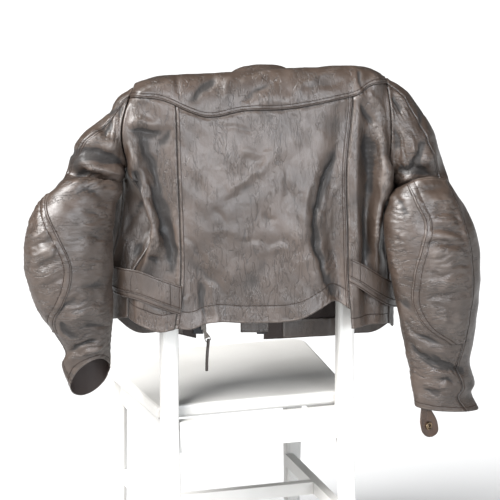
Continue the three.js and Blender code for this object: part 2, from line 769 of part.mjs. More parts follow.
// A band of leather round the side of the waist. inward and down move the second layer.
function strapWall(side, { thick, inward = 0, down = 0, end = 1 }) {
  const rows = STRAPS[side].map((row, i) => ({ ...row, i }));
  const cols = Math.round((rows.length - 1) * 2 * end);
  const at = (c, edge) => {
    const i = c / 2;
    const drop = read(rows, "i", edge, i) + down;
    return V(read(rows, "i", "x", i), read(rows, "i", "y", i), SHOULDER_Z - drop);
  };
  const points = grid(cols, 2, (c, r) => at(c, "top").lerp(at(c, "bottom"), r / 2));
  const band = placed(points, side === "left" ? -1 : 1);
  const outer = moved(band.points, band.normals, -inward);
  return wall(outer, moved(band.points, band.normals, -inward - thick), band.side);
}

// ---------------------------------------------------------------- zip slider and pull

// An outline in the XY plane, raised along Z and centred on z 0.
function raised(shape, high, curveSegments = 8) {
  const options = { depth: high, bevelEnabled: false, curveSegments };
  const geometry = new THREE.ExtrudeGeometry(shape, options);
  geometry.translate(0, 0, -high / 2);
  return geometry;
}

// An outline drawn in the YZ plane, as (y, z), and given a width along X, centred on x 0.
function sideways(shape, wide) {
  const geometry = raised(shape, wide);
  geometry.rotateY(Math.PI / 2);
  geometry.rotateX(Math.PI / 2);
  return geometry;
}

const outline = (points) => new THREE.Shape(points.map(([x, y]) => new THREE.Vector2(x, y)));

// The slider wraps the tape's free edge, so from above it is a C that opens towards -X.
function sliderBody() {
  const { wide, deep, high, slot, grip } = SLIDER;
  const [w, d, s] = [wide / 2, deep / 2, slot / 2];
  const c = outline([
    [-w, -d],
    [w - 2, -d],
    [w, -d + 2],
    [w, d - 2],
    [w - 2, d],
    [-w, d],
    [-w, s],
    [-w + grip, s],
    [-w + grip, -s],
    [-w, -s],
  ]);
  return raised(c, high);
}

// The arch on the slider's outer face, which holds the pull's upper bar.
function bailArch() {
  const shape = new THREE.Shape();
  shape.absarc(0, 0, BAIL.outer, -Math.PI / 2, Math.PI / 2, false);
  shape.absarc(0, 0, BAIL.inner, Math.PI / 2, -Math.PI / 2, true);
  shape.closePath();
  return sideways(shape, BAIL.wide);
}

// The flat metal pull hangs from its upper bar, whose middle is at the origin.
function pullPlate() {
  const { bar, wide, end, length, hole, ring } = PULL;
  const top = bar / 2;
  const waist = -length * 0.45;
  const shape = outline([
    [-wide / 2, top],
    [-wide / 2, -hole - bar],
    [-2.6, waist],
    [-end / 2, -length + 8],
    [-end / 2, -length + 1.5],
    [-end / 2 + 1.5, -length],
    [end / 2 - 1.5, -length],
    [end / 2, -length + 1.5],
    [end / 2, -length + 8],
    [2.6, waist],
    [wide / 2, -hole - bar],
    [wide / 2, top],
  ]);
  const cut = (x, z0, z1) =>
    outline([
      [-x, z0],
      [x, z0],
      [x, z1],
      [-x, z1],
    ]);
  shape.holes.push(cut(hole / 2, -bar / 2, -hole));
  shape.holes.push(cut(ring / 2, -length + bar, -length + bar + 5.5));
  const geometry = raised(shape, PULL.thick);
  geometry.rotateX(Math.PI / 2);
  return geometry;
}

// The leather lanyard is folded over the pull's lower bar, whose middle is at the origin, and
// both its layers hang down.
function lanyardStrip() {
  const { wide, layer, length, slack } = LANYARD;
  const inner = PULL.thick / 2 + 0.4;
  const outer = inner + layer;
  const top = PULL.bar / 2 + slack;
  const shape = outline([
    [-outer, -6],
    [-outer, top],
    [-inner, top + layer],
    [inner, top + layer],
    [outer, top],
    [outer, -6],
    [layer, -12],
    [layer, -length],
    [-layer, -length],
    [-layer, -12],
  ]);
  shape.holes.push(
    outline([
      [-inner, -5],
      [inner, -5],
      [inner, top],
      [-inner, top],
    ]),
  );
  return sideways(shape, wide);
}

// ---------------------------------------------------------------- snap tab

// The tab starts inside the right cuff, along its wall, then hangs below the rim.
function tabSheet() {
  const last = SLEEVES.right.length - 1;
  const cols = 4;
  const rows = 12;
  const rim = 3; // rows inside the cuff
  const inside = (at, angle) =>
    place(sleevePoint("right", at, angle)).addScaledVector(
      sleeveNormal("right", at, angle),
      -LEATHER - TAB.clear,
    );
  const points = grid(cols, rows, (c, r) => {
    const angle = TAB.angle + TAB.span * (c / cols - 0.5);
    if (r <= rim) return inside(last - TAB.inside * (1 - r / rim), angle);
    const hang = (r - rim) / (rows - rim);
    const middle = inside(last, TAB.angle);
    const across = inside(last, angle).sub(middle);
    const full = mix(1, TAB.wider, smoothstep(Math.min(1, hang / 0.6)));
    const end = hang > 0.72 ? Math.sqrt(1 - ((hang - 0.72) / 0.285) ** 2) : 1;
    const fall = V(hang * TAB.drift, 0, -TAB.hang * hang);
    return middle.add(across.multiplyScalar(full * end)).add(fall);
  });
  return sheet(points, -1);
}

// A round snap: a turned ring that stands on the tab's face at -Y.
function snapRing(tab) {
  const { radius, hole, thick, gap, at } = SNAP;
  const profile = [
    [hole, 0],
    [radius, 0],
    [radius, thick * 0.5],
    [radius - 1.5, thick],
    [hole + 1.5, thick * 0.65],
    [hole, thick * 0.9],
    [hole, 0],
  ].map(([x, y]) => new THREE.Vector2(x, y));
  const geometry = new THREE.LatheGeometry(profile, 20);
  const rows = tab.points.length - 1;
  const r = Math.round(mix(3, rows, at));
  const n = tab.normals[r][2].clone().negate();
  geometry.applyQuaternion(new THREE.Quaternion().setFromUnitVectors(V(0, 1, 0), n));
  const spot = tab.points[r][2].clone().addScaledVector(n, TAB.thick + gap);
  geometry.translate(spot.x, spot.y, spot.z);
  return geometry;
}

// ---------------------------------------------------------------- chair

function box(x0, x1, y0, y1, z0, z1) {
  const geometry = new THREE.BoxGeometry(x1 - x0, y1 - y0, z1 - z0);
  geometry.translate((x0 + x1) / 2, (y0 + y1) / 2, (z0 + z1) / 2);
  return geometry;
}

// A post with rounded corners through a few stations: the middle, the width and the depth.
function post(stations) {
  const sides = 12;
  const soft = (v) => Math.sign(v) * Math.abs(v) ** 0.45;
  const loops = stations.map((s) =>
    Array.from({ length: sides }, (_, k) => {
      const a = ((k + 0.5) / sides) * 2 * Math.PI;
      const x = s.x + (soft(Math.cos(a)) * s.wide) / 2;
      return V(x, s.y + (soft(Math.sin(a)) * s.deep) / 2, s.z);
    }),
  );
  const position = loops.flat().flatMap((p) => [p.x, p.y, p.z]);
  const index = [];
  for (let r = 0; r < loops.length - 1; r += 1) {
    for (let k = 0; k < sides; k += 1) {
      const a = r * sides + k;
      const b = r * sides + ((k + 1) % sides);
      index.push(a, b, b + sides, a, b + sides, a + sides);
    }
  }
  const top = (loops.length - 1) * sides;
  for (let k = 1; k < sides - 1; k += 1) {
    index.push(0, k + 1, k, top, top + k, top + k + 1);
  }
  const geometry = new THREE.BufferGeometry();
  geometry.setAttribute("position", new THREE.Float32BufferAttribute(position, 3));
  geometry.setIndex(index);
  geometry.computeVertexNormals();
  return geometry;
}

// An outline with a rounded edge all round, drawn in (u, v) and made depth thick in total.
function board(shape, depth, round, segments) {
  const geometry = new THREE.ExtrudeGeometry(shape, {
    depth: depth - 2 * round,
    bevelEnabled: true,
    bevelThickness: round,
    bevelSize: round,
    bevelOffset: -round,
    bevelSegments: segments,
    curveSegments: 6,
  });
  geometry.translate(0, 0, -(depth - 2 * round) / 2);
  return geometry;
}

// The top rail: a board with round upper corners and a round top edge, over the posts.
function topRail() {
  const { backHalf: half, backTop: top, railHigh, railRound: round, thick } = CHAIR;
  const low = top - railHigh;
  const shape = new THREE.Shape();
  shape.moveTo(-half, low);
  shape.lineTo(half, low);
  shape.lineTo(half, top - round);
  shape.absarc(half - round, top - round, round, 0, Math.PI / 2, false);
  shape.absarc(-half + round, top - round, round, Math.PI / 2, Math.PI, false);
  shape.closePath();
  const geometry = board(shape, thick, thick / 2 - 0.2, 4);
  geometry.rotateX(Math.PI / 2);
  return geometry;
}

// The seat: a rounded board, a little wider in front than behind.
function seatBoard() {
  const { seatHalfBack: back, seatHalfFront: front, seatDepth: deep, seatThick } = CHAIR;
  const near = CHAIR.thick / 2 + CHAIR.gap;
  const round = 34;
  const shape = new THREE.Shape();
  shape.moveTo(-back, near);
  shape.lineTo(back, near);
  shape.lineTo(front, deep - round);
  shape.quadraticCurveTo(front, deep, front - round, deep);
  shape.lineTo(-front + round, deep);
  shape.quadraticCurveTo(-front, deep, -front, deep - round);
  shape.closePath();
  const geometry = board(shape, seatThick, 6, 2);
  geometry.translate(0, 0, CHAIR.seatZ - seatThick / 2);
  return geometry;
}

// All the chair's pieces, as pairs of a name and a geometry. Each stops a gap short of the next.
function chairPieces() {
  const { backHalf, backTop, thick, postWide, gap, seatZ, seatThick, apron, stretcher } = CHAIR;
  const { frontLeg: leg, lowRail, slat, splay, straightTo, railHigh } = CHAIR;
  const pieces = [
    ["chair_top_rail", topRail()],
    ["chair_seat", seatBoard()],
  ];
  const under = seatZ - seatThick - gap;
  const postX = backHalf - postWide / 2;
  const postTop = backTop - railHigh - gap;
  const postAt = (z) => -splay * Math.max(0, 1 - z / straightTo);
  const legAt = (z) => mix(leg.foot, leg.top, z / under);
  for (const [side, sign] of [
    ["left", -1],
    ["right", 1],
  ]) {
    const x = sign * postX;
    pieces.push([
      `chair_back_post_${side}`,
      post([
        { x, y: postAt(0), z: 0, wide: postWide - 6, deep: thick - 4 },
        { x, y: 0, z: straightTo, wide: postWide, deep: thick },
        { x, y: 0, z: postTop, wide: postWide, deep: thick },
      ]),
    ]);
    pieces.push([
      `chair_front_leg_${side}`,
      post([
        { x: sign * leg.x, y: leg.y, z: 0, wide: leg.foot, deep: leg.foot },
        { x: sign * leg.x, y: leg.y, z: under, wide: leg.top, deep: leg.top },
      ]),
    ]);
    const inner = sign * (leg.x - apron.thick / 2);
    const outer = sign * (leg.x + apron.thick / 2);
    const [x0, x1] = [Math.min(inner, outer), Math.max(inner, outer)];
    const back = thick / 2 + gap;
    const front = leg.y - leg.top / 2 - gap;
    pieces.push([
      `chair_side_apron_${side}`,
      box(x0 - sign * 12, x1 - sign * 12, back, front, under - apron.high, under),
    ]);
    const z = stretcher.sideZ;
    const half = stretcher.thick / 2;
    const stretch = box(-half, half, 0, 1, z - stretcher.high / 2, z + stretcher.high / 2);
    const from = postAt(z + stretcher.high / 2) + thick / 2 + gap;
    stretch.scale(1, leg.y - legAt(z - stretcher.high / 2) / 2 - 1.6 * gap - from, 1);
    stretch.translate(sign * (leg.x - 12), from, 0);
    pieces.push([`chair_side_stretcher_${side}`, stretch]);
  }
  const between = postX - postWide / 2 - gap;
  const low = lowRail.z;
  pieces.push(["chair_low_rail", box(-between, between, -9, 9, low, low + lowRail.high)]);
  slat.places.forEach((z, i) => {
    const half = slat.thick / 2;
    pieces.push([`chair_slat_${i + 1}`, box(-between, between, -half, half, z, z + slat.high)]);
  });
  const legInner = leg.x - leg.top / 2 - gap;
  const t = apron.thick / 2;
  pieces.push([
    "chair_front_apron",
    box(-legInner, legInner, leg.y - t, leg.y + t, under - apron.high, under),
  ]);
  pieces.push(["chair_back_apron", box(-between, between, -t, t, under - apron.high, under)]);
  const cross = leg.x - 12 - stretcher.thick / 2 - gap;
  const z = stretcher.middleZ;
  const [y, h, d] = [170, stretcher.high / 2, stretcher.thick / 2];
  pieces.push(["chair_cross_stretcher", box(-cross, cross, y - d, y + d, z - h, z + h)]);
  return pieces;
}

// ---------------------------------------------------------------- the object

const group = new THREE.Group();
group.position.set(-MIDDLE.x, -MIDDLE.y, 0);

function add(name, geometry, finish) {
  const mesh = new THREE.Mesh(geometry, new THREE.MeshStandardMaterial(COLOURS[finish]));
  mesh.name = name;
  group.add(mesh);
  return mesh;
}

const hemOf = (table) => (x) => read(table, "x", "drop", x);
const middle = backSheet(hemOf(BACK_HEM));
const sides = backSheet(hemOf([...SIDE_HEM_LEFT, ...SIDE_HEM_RIGHT]));
add("yoke", panel(yokeSheet()), "leather");
add("back_centre", panel(middle, { from: backSeamLeft, to: backSeamRight }), "leather");
add("back_side_left", panel(sides, { to: backSeamLeft }), "leather");
add("back_side_right", panel(sides, { from: backSeamRight }), "leather");
add("collar", panel(collarSheet()), "leather");

for (const side of ["left", "right"]) {
  add(`side_${side}`, panel(sideSheet(side)), "leather");
  const front = frontSheet(side);
  add(`front_${side}`, panel(front), "leather");
  const turned = { lift: -LEATHER - FACING.clear, thick: FACING.thick };
  turned.top = front.points.length - 1 - FACING.rows;
  if (side === "left") turned.to = front.points[0].length - 2;
  else turned.from = 1;
  add(`hem_facing_${side}`, panel(front, turned), "leather");
  add(`zip_tape_${side}`, edgeStrip(side, ZIP), "tape");

  add(`sleeve_front_${side}`, panel(sleeveHalf(side, "front")), "leather");
  const back = sleeveHalf(side, "back");
  add(`sleeve_back_${side}`, panel(back), "leather");
  const { from, to } = ELBOW[side];
  const pad = { to: PAD_COLS, top: from * SLEEVE_STEPS, bottom: to * SLEEVE_STEPS };
  pad.lift = ELBOW.clear + ELBOW.thick;
  pad.thick = ELBOW.thick;
  add(`elbow_${side}`, panel(back, pad), "leather");

  add(`waist_strap_${side}`, strapWall(side, { thick: STRAP.thick }), "leather");
  const second = { thick: STRAP.under, down: STRAP.underDrop, end: STRAP.underShare };
  second.inward = STRAP.thick + STRAP.clear;
  add(`waist_strap_under_${side}`, strapWall(side, second), "leather");
}
add("wind_flap", edgeStrip("right", WIND_FLAP), "leather");

// The slider sits on the left tape's free edge, and the pull hangs from its arch.
const tapeEdge = place(frontEdge("left", SLIDER.drop).add(V(ZIP.out, -LEATHER - ZIP.behind, 0)));
const sliderAt = tapeEdge.clone().add(V(-0.4, -ZIP.thick / 2, 0));
const archAt = sliderAt.clone().add(V(0, SLIDER.deep / 2 + BAIL.gap, -1));
const hingeAt = archAt.clone().add(V(0, 1.9, 0));
add("zip_slider", sliderBody().translate(...sliderAt), "metal");
add("zip_bail", bailArch().translate(...archAt), "metal");
const pull = add("zip_pull", pullPlate(), "metal");
pull.position.copy(hingeAt);
pull.rotation.y = -rad(PULL.tilt);
const lowerBar = V(0, 0, -PULL.length + PULL.bar / 2).applyEuler(pull.rotation).add(hingeAt);
const lanyard = add("zip_lanyard", lanyardStrip(), "leather");
lanyard.position.copy(lowerBar);
lanyard.rotation.y = -rad(LANYARD.tilt);

const tab = tabSheet();
add("cuff_tab", panel(tab, { thick: TAB.thick }), "leather");
add("cuff_snap", snapRing(tab), "metal");

for (const [name, geometry] of chairPieces()) add(name, geometry, "paint");

export default group;
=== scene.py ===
# A leather motorcycle jacket hung over the back of a plain wooden chair: its leather, lining,
# seams, stitches and zip, the chair's finish, the floor, the light and the camera.
#
# Sizes are millimetres and +Z is up. The jacket's tables are read square on by a viewer who
# stands behind the chair and a little to its left: x runs to the viewer's right, y is how far a
# place lies behind the chair's top edge, and a drop is measured down from that edge. place()
# turns such a point into the chair's own frame, and metres() into the model's.

import math

import bpy
import numpy as np
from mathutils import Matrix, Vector

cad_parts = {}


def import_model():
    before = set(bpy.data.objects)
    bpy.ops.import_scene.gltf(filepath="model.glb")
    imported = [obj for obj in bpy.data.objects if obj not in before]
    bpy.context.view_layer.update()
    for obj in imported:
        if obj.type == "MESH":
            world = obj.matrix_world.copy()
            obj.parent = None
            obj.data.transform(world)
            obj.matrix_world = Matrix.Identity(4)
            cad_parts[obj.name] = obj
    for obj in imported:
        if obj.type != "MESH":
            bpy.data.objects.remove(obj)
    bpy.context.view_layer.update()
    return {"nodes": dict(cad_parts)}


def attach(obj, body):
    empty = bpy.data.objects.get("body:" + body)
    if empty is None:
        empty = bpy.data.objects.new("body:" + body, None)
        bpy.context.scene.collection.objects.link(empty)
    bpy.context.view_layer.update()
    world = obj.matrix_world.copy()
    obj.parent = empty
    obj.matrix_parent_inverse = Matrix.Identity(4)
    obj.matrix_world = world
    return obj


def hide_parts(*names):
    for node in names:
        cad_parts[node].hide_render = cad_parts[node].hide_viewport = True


# ---------------------------------------------------------------- driving sizes

LEATHER = 2.0  # wall of the body, yoke and sleeves
SHOULDER_Z = 1100.0  # height that every drop below is measured from
VIEWER = {"turn": 17, "slope": 0.0765, "grow": 5.9e-5, "eye": 755}
MIDDLE = {"x": -10.9, "y": 148}  # middle of the whole footprint, the model's origin

FINE = 3.4  # spacing of the points on the panels that face the viewer
PLAIN = 5.0  # and on the others
SEAM_GAP = 0.12  # how far a panel's outer edge stops short of a seam
SKIVED = 1.0  # the same for its inner edge

DROPS = [70, 190, 310, 400, 500]  # yoke, armpit, chest, waist, hem

# name, columns to the next line, then [x, y] at each drop
BACK_LINES = [
    ["side seam, left", 2, [-241, -8], [-253, 5], [-192, -26], [-240, -28], [-250, -26]],
    ["ridge, left", 3, [-229, -25], [-238, -42], [-201, -60], [-226, -50], [-232, -48]],
    ["hollow, left", 2, [-192, -31], [-190, -36], [-178, -48], [-182, -50], [-192, -58]],
    ["back seam, left", 2, [-154, -36], [-151, -47], [-147, -55], [-146, -59], [-158, -63]],
    ["fold, left", 3, [-118, -38], [-116, -51], [-112, -60], [-110, -56], [-112, -66]],
    ["middle, left", 3, [-50, -39], [-50, -54], [-50, -63], [-48, -64], [-48, -66]],
    ["middle, right", 3, [48, -39], [46, -54], [44, -64], [45, -66], [42, -70]],
    ["fold crest, right", 2, [140, -36], [130, -50], [112, -64], [132, -66], [138, -80]],
    ["fold hollow, right", 1, [160, -33], [150, -42], [138, -46], [154, -52], [164, -66]],
    ["back seam, right", 1, [179, -31], [168, -45], [171, -54], [173, -60], [180, -68]],
    ["strip, right", 1, [190, -34], [187, -50], [189, -58], [190, -60], [192, -62]],
    ["tuck, right", 2, [206, -27], [206, -24], [208, -24], [206, -36], [207, -50]],
    ["ridge, right", 2, [229, -22], [243, -44], [227, -52], [229, -38], [236, -34]],
    ["side seam, right", 0, [242, -6], [257, 2], [243, -10], [250, -10], [252, -5]],
]
LEFT_FRONT_LINES = [
    ["front seam, left", 2, [-242, 38], [-256, 36], [-264, 16], [-286, 16], [-288, 22]],
    ["side, left", 2, [-224, 50], [-255, 66], [-286, 54], [-293, 54], [-290, 58]],
    ["chest, left", 3, [-200, 50], [-224, 92], [-250, 94], [-256, 98], [-252, 98]],
    ["pocket, left", 3, [-150, 48], [-170, 98], [-186, 108], [-190, 110], [-190, 108]],
    ["front edge, left", 0, [-75, 46], [-96, 88], [-112, 100], [-117, 100], [-121, 98]],
]
RIGHT_FRONT_LINES = [
    ["front edge, right", 3, [85, 46], [50, 90], [26, 100], [16, 100], [12, 98]],
    ["zip side, right", 3, [130, 48], [118, 100], [112, 112], [110, 112], [108, 106]],
    ["pocket, right", 3, [190, 50], [198, 98], [206, 106], [206, 106], [208, 98]],
    ["side, right", 2, [226, 50], [251, 66], [262, 64], [264, 62], [262, 60]],
    ["front seam, right", 0, [243, 40], [260, 34], [257, 14], [263, 14], [263, 20]],
]

# Heights that change across the jacket, as [x, drop below the shoulders].
YOKE_SEAM = [
    [-246, 55], [-175, 61], [-130, 80], [-103, 89], [-25, 78],
    [51, 75], [144, 59], [190, 47], [213, 32], [250, 30],
]
# x, true drop of the top of the shoulders, and its y
RIDGE = [
    [-246, 28, 16], [-207, 13.5, 5], [-150, 8, 0], [-110, 8, 0], [0, 8, 0],
    [110, 8, 0], [160, 8, 0], [200, 12.5, 4], [224, 23, 10], [250, 38, 16],
]
# x, drop and y of the seam in front of the shoulders
FRONT_YOKE = [
    [-240, 60, 38], [-180, 78, 49], [-75, 84, 46], [85, 84, 46], [190, 74, 49], [244, 46, 41],
]
SIDE_HEM_LEFT = [[-288, 478], [-266, 478], [-248, 486], [-224, 495], [-187, 506], [-158, 499]]
BACK_HEM = [
    [-158, 497], [-127, 498], [-99, 487], [-15, 485], [87, 473], [122, 454], [148, 442], [180, 458],
]
SIDE_HEM_RIGHT = [[180, 496], [243, 498], [263, 508]]
FRONT_HEM_LEFT = [[-290, 500], [-250, 545], [-177, 552], [-121, 562]]
FRONT_HEM_RIGHT = [[12, 564], [100, 561], [190, 553], [240, 538], [264, 514]]

# Rings of each sleeve, from inside the armhole to the cuff.
RING = ["out_x", "out_z", "in_x", "in_z", "y", "depth", "raise", "seam"]
SLEEVES = {
    "left": [
        [-228, 1062, -240, 906, 16, 37, 0, 32],
        [-259, 1039, -256, 900, 14, 40, 0, 34],
        [-289, 1004, -261, 894, 12, 45, 0, 40],
        [-334, 966, -265, 888, 10, 48, 4, 40],
        [-360, 925, -268, 881, 8, 47, 8, 32],
        [-365, 894, -269, 872, 15, 36, 0, 22],
        [-381, 868, -268, 862, -18, 50, 30, 14],
        [-420, 837, -270, 835, -37, 55, 12, 10],
        [-441, 779, -275, 780, -45, 57, 2, 10],
        [-443, 720, -277, 721, -48, 55, 0, 10],
        [-425, 652, -278, 652, -46, 52, 0, 12],
        [-391, 590, -280, 597, -42, 46, 4, 14],
        [-371, 549, -282, 561, -38, 40, 10, 16],
        [-378, 520, -284, 541, -36, 37, 24, 18],
        [-361, 476, -285, 520, -36, 34, 40, 20],
    ],
    "right": [
        [234, 1080, 242, 894, 16, 39, 0, 24],
        [268, 1062, 259, 886, 14, 42, 0, 30],
        [296, 1036, 262, 880, 11, 46, 0, 40],
        [322, 998, 265, 874, 8, 50, 3, 45],
        [344, 948, 268, 868, 6, 50, 6, 48],
        [359, 895, 268, 861, 12, 38, 0, 45],
        [368, 870, 256, 853, -20, 53, 34, 42],
        [392, 840, 241, 824, -40, 60, 14, 38],
        [415, 788, 241, 771, -48, 62, 3, 38],
        [425, 727, 249, 720, -50, 60, 0, 38],
        [423, 653, 264, 653, -48, 56, 0, 40],
        [416, 577, 279, 577, -44, 48, 0, 48],
        [408, 530, 291, 521, -40, 42, 4, 55],
        [421, 487, 298, 482, -36, 38, 0, 55],
        [414, 466, 301, 461, -36, 35, 0, 60],
        [429, 435, 304, 441, -36, 34, 0, 52],
    ],
}
ARMHOLES = {
    "left": {"at": 0.25, "behind": 0.75, "before": 0.1, "yoke": 34, "back": 150, "front": 204,
             "front_yoke": 322},
    "right": {"at": 0.25, "behind": 0.3, "before": 0.1, "yoke": 24, "back": 152, "front": 204,
              "front_yoke": 320},
}

# Elbow pieces: their first and last ring, and the angle of their inner edge at places between.
ELBOW = {"left": (6.5, 11), "right": (6, 11)}
ELBOW_LINES = {
    "left": [
        [0, 95], [5, 88], [6, 40], [6.5, 30], [7, 46], [7.9, 80], [8.9, 97],
        [9.5, 90], [10, 74], [10.5, 50], [11, 32], [12, 60], [14, 100],
    ],
    "right": [
        [0, 100], [5, 124], [6, 124], [6.7, 108], [7.4, 96], [8.1, 105], [9.2, 122],
        [10, 128], [10.5, 112], [11, 74], [11.6, 74], [13, 104], [15, 110],
    ],
}

# Waist straps: x and y of the outer face's path, and the drops of its upper and lower edge.
STRAPS = {
    "left": [
        [-145, -68, 412, 459], [-182, -68, 399, 446], [-226, -61, 384, 431], [-262, -40, 383, 428],
        [-290, 2, 384, 427], [-301, 50, 388, 430], [-276, 98, 392, 434], [-212, 119, 394, 436],
    ],
    "right": [
        [175, -66.2, 357, 395], [200, -67, 369, 408], [229, -54, 390, 430], [256, -25, 411, 451],
        [275, 14, 423, 463], [279, 52, 428, 468], [264, 92, 430, 470], [220, 117, 431, 471],
    ],
}
COLLAR = {"height": 42, "lean": 0.2, "lean_ends": 0.45, "neck_x": 5, "neck_half": 80,
          "neck_back": 117, "clear": 1}
WIND_FLAP = {"top": 110, "bottom": 548, "lap": 10, "out": 46, "thick": 2.0, "behind": 3.1}
ZIP = {"top": 104, "bottom": 552, "lap": 6, "out": 14, "thick": 1.2, "behind": 1.0}
TAB = {"thick": 2.4, "inside": 0.45, "hang": 73, "drift": 15, "angle": 222, "span": 22,
       "wider": 2.3, "clear": 1.9}

# ---------------------------------------------------------------- curves and tables


def mix(a, b, t):
    return a + (b - a) * t


def smooth(t):
    t = np.clip(t, 0, 1)
    return t * t * (3 - 2 * t)


def curve(ts, vs, t):
    """A smooth curve through the values vs at the places ts, held flat past both ends."""
    t = np.asarray(t, float)
    flat = t.ravel()
    ts = np.asarray(ts, float).reshape(len(ts), -1) * np.ones(flat.size)
    vs = np.asarray(vs, float).reshape(len(vs), -1) * np.ones(flat.size)
    flat = np.clip(flat, ts[0], ts[-1])
    i = np.clip((flat >= ts).sum(axis=0) - 1, 0, len(ts) - 2)
    gaps = np.diff(ts, axis=0)
    slopes = np.diff(vs, axis=0) / gaps
    tangents = np.empty_like(vs)
    tangents[0] = slopes[0]
    tangents[-1] = slopes[-1]
    tangents[1:-1] = (slopes[:-1] * gaps[1:] + slopes[1:] * gaps[:-1]) / (gaps[:-1] + gaps[1:])
    n = np.arange(flat.size)
    h = gaps[i, n]
    u = (flat - ts[i, n]) / h
    out = (2 * u**3 - 3 * u**2 + 1) * vs[i, n] + (u**3 - 2 * u**2 + u) * h * tangents[i, n]
    out += (3 * u**2 - 2 * u**3) * vs[i + 1, n] + (u**3 - u**2) * h * tangents[i + 1, n]
    return out.reshape(t.shape)


def read(table, column, at):
    """A column of a table whose first column is the place along it."""
    return curve([row[0] for row in table], [row[column] for row in table], at)


def unit(v):
    return v / np.maximum(np.linalg.norm(v, axis=-1, keepdims=True), 1e-9)


def place(p):
    """From the viewer's reading of the jacket to the chair's own frame."""
    turn = math.radians(VIEWER["turn"])
    x, y, z = np.moveaxis(np.asarray(p, float), -1, 0)
    size = 1 + VIEWER["grow"] * x
    across = x * size / math.cos(turn) + y * math.sin(turn)
    up = VIEWER["eye"] + (z - VIEWER["eye"]) * size - VIEWER["slope"] * x
    return np.stack([across, y * math.cos(turn), up], axis=-1)


def seen_height(x, z):
    """The height that a table gives to a place at x whose true height is z."""
    rise = z - VIEWER["eye"] + VIEWER["slope"] * x
    return VIEWER["eye"] + rise / (1 + VIEWER["grow"] * x)


def metres(p):
    return (np.asarray(p, float) - [MIDDLE["x"], MIDDLE["y"], 0]) / 1000


def run_of(points):
    """The distance along a row of points from its first one."""
    steps = np.linalg.norm(np.diff(points, axis=0), axis=-1)
    return np.concatenate([np.zeros((1,) + steps.shape[1:]), np.cumsum(steps, axis=0)])


EDGE_MARKS = [0, 0.7, 1.6, 2.8, 4.2, 6.0, 8.0, 10.4]


def spaced(points, start, end, step):
    """Places from start to end, step apart and closer at both ends. points is a probe between."""
    run = run_of(points)
    total = run[-1]
    rest = np.linspace(13.5, total - 13.5, max(2, round((total - 27) / step)))
    marks = np.concatenate([EDGE_MARKS, rest, total - np.array(EDGE_MARKS[::-1])])
    return np.interp(marks, run, np.linspace(start, end, len(points)))


def wave_field(seed, length, count=14):
    """A function of points that gives soft uneven waves, with crests about length apart."""
    draw = np.random.default_rng(seed)
    turns = unit(draw.normal(size=(count, 3)))
    scale = draw.uniform(0.65, 1.5, size=(count, 1))
    phase = draw.uniform(0, 2 * math.pi, size=count)
    pitch = (turns * scale * 2 * math.pi / length).T
    return lambda points: np.sin(points @ pitch + phase).sum(axis=-1) / math.sqrt(count)


# ---------------------------------------------------------------- sleeves

PROBE = 80


def sleeve_point(side, at, angle):
    """at is a place along the rings. angle is 0 at the outer point and 90 at the viewer's side."""
    rings = np.arange(len(SLEEVES[side]))
    get = {n: curve(rings, [row[k] for row in SLEEVES[side]], at) for k, n in enumerate(RING)}
    turn = np.radians(angle)
    out_x = (get["out_x"] - get["in_x"]) / 2
    out_z = (get["out_z"] - get["in_z"]) / 2
    x = (get["out_x"] + get["in_x"]) / 2 + out_x * np.cos(turn)
    y = get["y"] - get["depth"] * np.sin(turn)
    z = (get["out_z"] + get["in_z"]) / 2 + out_z * np.cos(turn) + get["raise"] * np.sin(turn)
    return np.stack([x, y, z], axis=-1)


def armhole_at(side, turn):
    hole = ARMHOLES[side]
    s = np.sin(np.radians(turn))
    return hole["at"] + np.where(s > 0, hole["behind"], hole["before"]) * s * s


def armhole_point(side, turn):
    turn = np.asarray(turn, float)
    return sleeve_point(side, armhole_at(side, turn), turn)


def sleeve_angle(side, half, at, c):
    """The angle at a column: 0 at the outer seam, 1 at the elbow line if behind, 2 at the end."""
    rings = np.arange(len(SLEEVES[side]))
    seam = curve(rings, [row[-1] for row in SLEEVES[side]], at)
    if half == "front":
        return mix(seam, -180, c / 2)
    line = read(ELBOW_LINES[side], 1, at)
    return np.where(c <= 1, mix(seam, line, c), mix(line, 180, c - 1))


def sleeve_table(side, half, cols, rows):
    """Points of half a sleeve. The first rows spread out from the armhole."""
    c, r = np.meshgrid(cols, rows)
    angle = sleeve_angle(side, half, r, c)
    edge = armhole_at(side, angle) + 0.004
    at = np.where(r < 1.5, mix(edge, 1.5, r / 1.5), r)
    return sleeve_point(side, at, angle)


# ---------------------------------------------------------------- body

TOP_ROWS = 5  # from the yoke to the armpit
LOW_ROWS = 9  # from the armpit to the hem


def first_columns(lines):
    return np.concatenate([[0], np.cumsum([row[1] for row in lines])[:-1]])


def last_column(lines):
    return sum(row[1] for row in lines)


def column_of(lines, name):
    return first_columns(lines)[[row[0] for row in lines].index(name)]


def line_point(row, drop):
    return [curve(DROPS, [p[axis] for p in row[2:]], drop) for axis in (0, 1)]


def body_point(lines, column, drop, first=None, last=None):
    """x and y between the lines at a drop. first and last may replace the end lines' points."""
    starts = first_columns(lines)
    i = np.clip(np.searchsorted(starts, column, side="right") - 1, 0, len(lines) - 2)
    share = (column - starts[i]) / np.array([row[1] for row in lines])[i]
    plan = np.array([line_point(row, drop.ravel()) for row in lines])
    if first is not None:
        plan[0] = [np.ravel(v) for v in first]
    if last is not None:
        plan[-1] = [np.ravel(v) for v in last]
    steps = np.hypot(*np.moveaxis(np.diff(plan, axis=0), 1, 0))
    run = np.concatenate([np.zeros((1, steps.shape[1])), np.cumsum(steps, axis=0)])
    n = np.arange(run.shape[1])
    t = mix(run[i.ravel(), n], run[i.ravel() + 1, n], share.ravel())
    x = curve(run, plan[:, 0], t).reshape(drop.shape)
    return x, curve(run, plan[:, 1], t).reshape(drop.shape)


